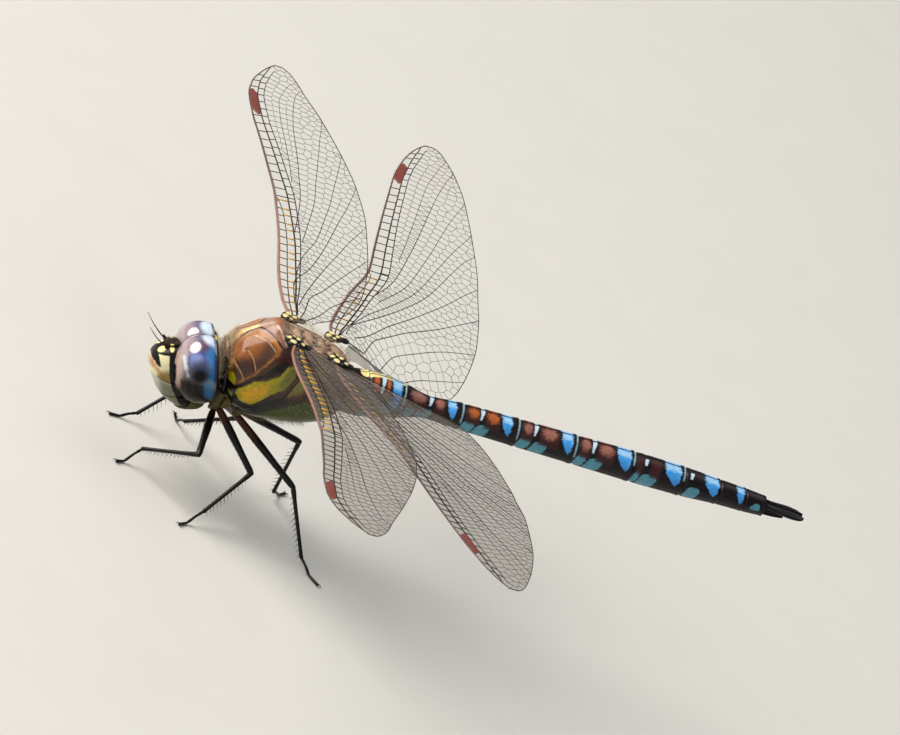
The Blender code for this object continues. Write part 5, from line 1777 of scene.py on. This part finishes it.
class DRAGONFLY_OT_face(Step, bpy.types.Operator):
    """Make the face plates, mouth, crown, back of the head and feelers."""

    bl_idname = "dragonfly.face"
    bl_label = "Face"

    def execute(self, context):
        face, dark, dull = [layered_finish(name) for name in ("face", "dark", "dull")]
        for name, (node, top, bottom, rings) in FACE_PLATES.items():
            make_piece(name, face_plate(top, bottom, rings), face, [node])
        lip = skin_of("labium")
        lip.fields["olive"] = np.full(len(lip.points), 1.0)
        make_piece("lower_lip", lip, dull, ["labium"])
        crown = skin_of("vertex")
        crown.fields["yellow"] = in_ellipsoid(in_head(crown.points), *CROWN_SPOT)
        make_piece("crown_knob", crown, dark, ["vertex"])
        back = skin_of("head_capsule")
        place = in_head(back.points)
        back.fields["olive"] = -2.9 - place[:, 2]
        back.fields["yellow"] = in_ellipsoid(place, *NAPE_SPOT)
        make_piece("head_back", back, dull, ["head_capsule"])
        for side, sign in SIDES.items():
            make_piece("feeler_" + side, antenna_form(sign), dark, ["antenna_" + side])
        return DONE


class DRAGONFLY_OT_thorax(Step, bpy.types.Operator):
    """Make the thorax, its collar, the neck and the wing hinges."""

    bl_idname = "dragonfly.thorax"
    bl_label = "Thorax"

    def execute(self, context):
        material, dark = layered_finish("thorax"), layered_finish("dark", "Blackened hinge cuticle")
        make_piece("thorax_skin", thorax_skin(), material, ["thorax"])
        collar = skin_of("prothorax")
        # painted light: the collar's lighter colour grows towards the top, as though lit from above
        collar.fields["collar"] = (collar.points[:, 2] + 5.0) * 0.25 + 0.03
        collar.fields["dark"] = -3.6 - collar.points[:, 2]
        make_piece("collar_skin", collar, material, ["prothorax"])
        make_piece("neck_skin", skin_of("neck"), dark, ["neck"])
        for pair, place in HINGES.items():
            for side, sign in SIDES.items():
                make_piece("hinge_%s_%s" % (pair, side), hinge_form(place, sign), dark)
        return DONE


class DRAGONFLY_OT_abdomen(Step, bpy.types.Operator):
    """Make the ten segments of the abdomen and the tail blades."""

    bl_idname = "dragonfly.abdomen"
    bl_label = "Abdomen"

    def execute(self, context):
        material, tail = layered_finish("abdomen"), layered_finish("dark", "Blackened tail cuticle")
        for index in range(len(ABDOMEN_RIMS)):
            node = "abdomen_%d" % (index + 1)
            name = "segment_%d" % (index + 1)
            make_piece(name, segment_form(index), material, [node])
        for side, sign in SIDES.items():
            make_piece("tail_blade_" + side, cercus_form(sign), tail, ["cercus_" + side])
        make_piece("tail_plate", epiproct_form(), tail, ["epiproct"])
        return DONE


class DRAGONFLY_OT_wings(Step, bpy.types.Operator):
    """Make the four wings: membranes, veins, cells and spots."""

    bl_idname = "dragonfly.wings"
    bl_label = "Wings"

    def execute(self, context):
        cell = settings()[1].cell_size / MM
        finishes = {name: layered_finish(name) for name in ("veins", "edge", "membranule", "struts", "spot")}
        finishes["membrane"] = membrane_finish()
        finishes["net"] = layered_finish("veins", "Thin vein cuticle")
        for pair in WINGS:
            plan = WingPlan(pair)
            walls = cell_walls(plan, cell, np.random.default_rng(WING_SEEDS[pair]))
            dark, yellow = struts(plan)
            for side in SIDES:
                forms = {"veins": veins_form(plan, side), "edge": front_edge_form(plan, side)}
                if pair == "hind":
                    forms["membranule"] = membranule_form(plan, side)
                forms["membrane"] = membrane_form(plan, side)
                net = [bars_form(plan, side, walls, CELL_RADIUS), bars_form(plan, side, dark, STRUT_RADIUS)]
                forms["net"] = joined(net)
                forms["struts"] = bars_form(plan, side, yellow, STRUT_RADIUS * 1.5, 0.02)
                forms["spot"] = spot_form(plan, side)
                node = "%swing_%s" % (pair, side)
                for name, form in forms.items():
                    make_piece("%s_%s" % (name, node), form, finishes[name], [node])
        return DONE


class DRAGONFLY_OT_legs(Step, bpy.types.Operator):
    """Make the six legs with their spines and claws."""

    bl_idname = "dragonfly.legs"
    bl_label = "Legs"

    def execute(self, context):
        length = settings()[1].spine_length / MM
        material, hips = layered_finish("leg"), layered_finish("hip")
        draw = np.random.default_rng(LEG_SEED)
        for pair, side in [(pair, side) for pair in PAIRS for side in SIDES]:
            label = "%s_%s" % (pair, side)
            hip, knee, ankle, path = leg_route(label)
            thigh = limb_form(hip, knee, FEMUR_PROFILE)
            thigh.fields["russet"] = BARE_THIGH[pair] - norm(thigh.points - hip, axis=1)
            thigh = joined([thigh, spine_form(hip, knee, THIGH_SPINES, length, draw)])
            shin = limb_form(knee, ankle, TIBIA_PROFILE)
            shin = joined([shin, spine_form(knee, ankle, SHIN_SPINES, length, draw)])
            foot = foot_form(path)
            limbs = (("thigh_", thigh, "femur_"), ("shin_", shin, "tibia_"), ("foot_", foot, "tarsus_"))
            for name, form, node in limbs:
                make_piece(name + label, form, material, [node + label])
            hip_skin = refined("coxa_" + label, HIP_VOXEL)
            make_piece("hip_" + label, hip_skin, hips, ["coxa_" + label])
        return DONE


class DRAGONFLY_OT_hair(Step, bpy.types.Operator):
    """Make the hair of the thorax."""

    bl_idname = "dragonfly.hair"
    bl_label = "Hair"

    def execute(self, context):
        sizes = settings()[1]
        material = layered_finish("hair")
        draw = np.random.default_rng(HAIR_SEED)
        thinned = 1
        length, count = sizes.hair_length / MM, sizes.hair_count // thinned
        for coat in COATS:
            form, hair_map = coat_form(coat, length, count, draw)
            make_piece(coat, form, material, hair_map=hair_map)
        for name, (_, slot, *_) in FUZZ.items():
            form, hair_map = fuzz_form(name, thinned, draw)
            if name == "hair_crown":
                form.fields["dark"] = np.full(len(form.points), 1.0)
            make_piece(name, form, material, hair_map=hair_map)
        return DONE


class DRAGONFLY_OT_stage(Step, bpy.types.Operator):
    """Set the floor, the lights and the camera."""

    bl_idname = "dragonfly.stage"
    bl_label = "Stage"

    def execute(self, context):
        stage = settings()[2]
        aim = Vector(to_floor(CAMERA_AIM))
        mesh = bpy.data.meshes.new("floor")
        half = FLOOR_SIZE / 2
        corners = [(-half, -half, 0), (half, -half, 0), (half, half, 0), (-half, half, 0)]
        mesh.from_pydata(corners, [], [(0, 1, 2, 3)])
        place = mesh.attributes.new("body_mm", "FLOAT_VECTOR", "POINT")
        place.data.foreach_set("vector", [c / MM for v in mesh.vertices for c in v.co])
        mesh.materials.append(layered_finish("floor"))
        linked("floor", mesh)
        world = bpy.data.worlds.new("Pale studio")
        world.use_nodes = True
        glow = {"Color": linear(SKY[0]), "Strength": SKY[1]}
        set_up(world.node_tree, world.node_tree.nodes["Background"], glow)
        bpy.context.scene.world = world
        for name, light in LIGHTS.items():
            way, distance, size, power, colour = light
            lamp = bpy.data.lights.new(name, "AREA")
            lamp.shape, lamp.size, lamp.energy, lamp.color = "DISK", size, power, linear(colour)[:3]
            face_aim(linked(name, lamp), aim, way, distance)
        data = bpy.data.cameras.new("camera")
        data.lens = stage.lens
        data.clip_start, data.clip_end = 0.01, 20.0
        camera = linked("camera", data)
        rise, bearing = stage.elevation, stage.azimuth
        level = math.cos(rise)
        back = (level * math.cos(bearing), level * math.sin(bearing), math.sin(rise))
        face_aim(camera, aim, back, stage.distance, stage.roll)
        bpy.context.scene.camera = camera
        bpy.context.scene.view_settings.view_transform = "Standard"
        return DONE


STEPS = (
    DRAGONFLY_OT_eyes,
    DRAGONFLY_OT_face,
    DRAGONFLY_OT_thorax,
    DRAGONFLY_OT_abdomen,
    DRAGONFLY_OT_wings,
    DRAGONFLY_OT_legs,
    DRAGONFLY_OT_hair,
    DRAGONFLY_OT_stage,
)
GROUPS = {
    "dragonfly_colours": DragonflyColours,
    "dragonfly_sizes": DragonflySizes,
    "dragonfly_stage": DragonflyStage,
}


class DRAGONFLY_PT_panel(bpy.types.Panel):
    """Lists every step and setting."""

    bl_idname = "DRAGONFLY_PT_panel"
    bl_label = "Dragonfly"
    bl_space_type = "VIEW_3D"
    bl_region_type = "UI"
    bl_category = "Dragonfly"

    def draw(self, context):
        for step in STEPS:
            self.layout.operator(step.bl_idname)
        for name, group in GROUPS.items():
            box = self.layout.box()
            for field in group.__annotations__:
                box.prop(getattr(context.scene, name), field)


CLASSES = (*GROUPS.values(), *STEPS, DRAGONFLY_PT_panel)


def register():
    for item in CLASSES:
        bpy.utils.register_class(item)
    for name, group in GROUPS.items():
        setattr(bpy.types.Scene, name, PointerProperty(type=group))


def unregister():
    for name in GROUPS:
        delattr(bpy.types.Scene, name)
    for item in reversed(CLASSES):
        bpy.utils.unregister_class(item)


def main():
    register()
    for step in STEPS:
        group, name = step.bl_idname.split(".")
        getattr(getattr(bpy.ops, group), name)()


if __name__ == "__main__":
    main()
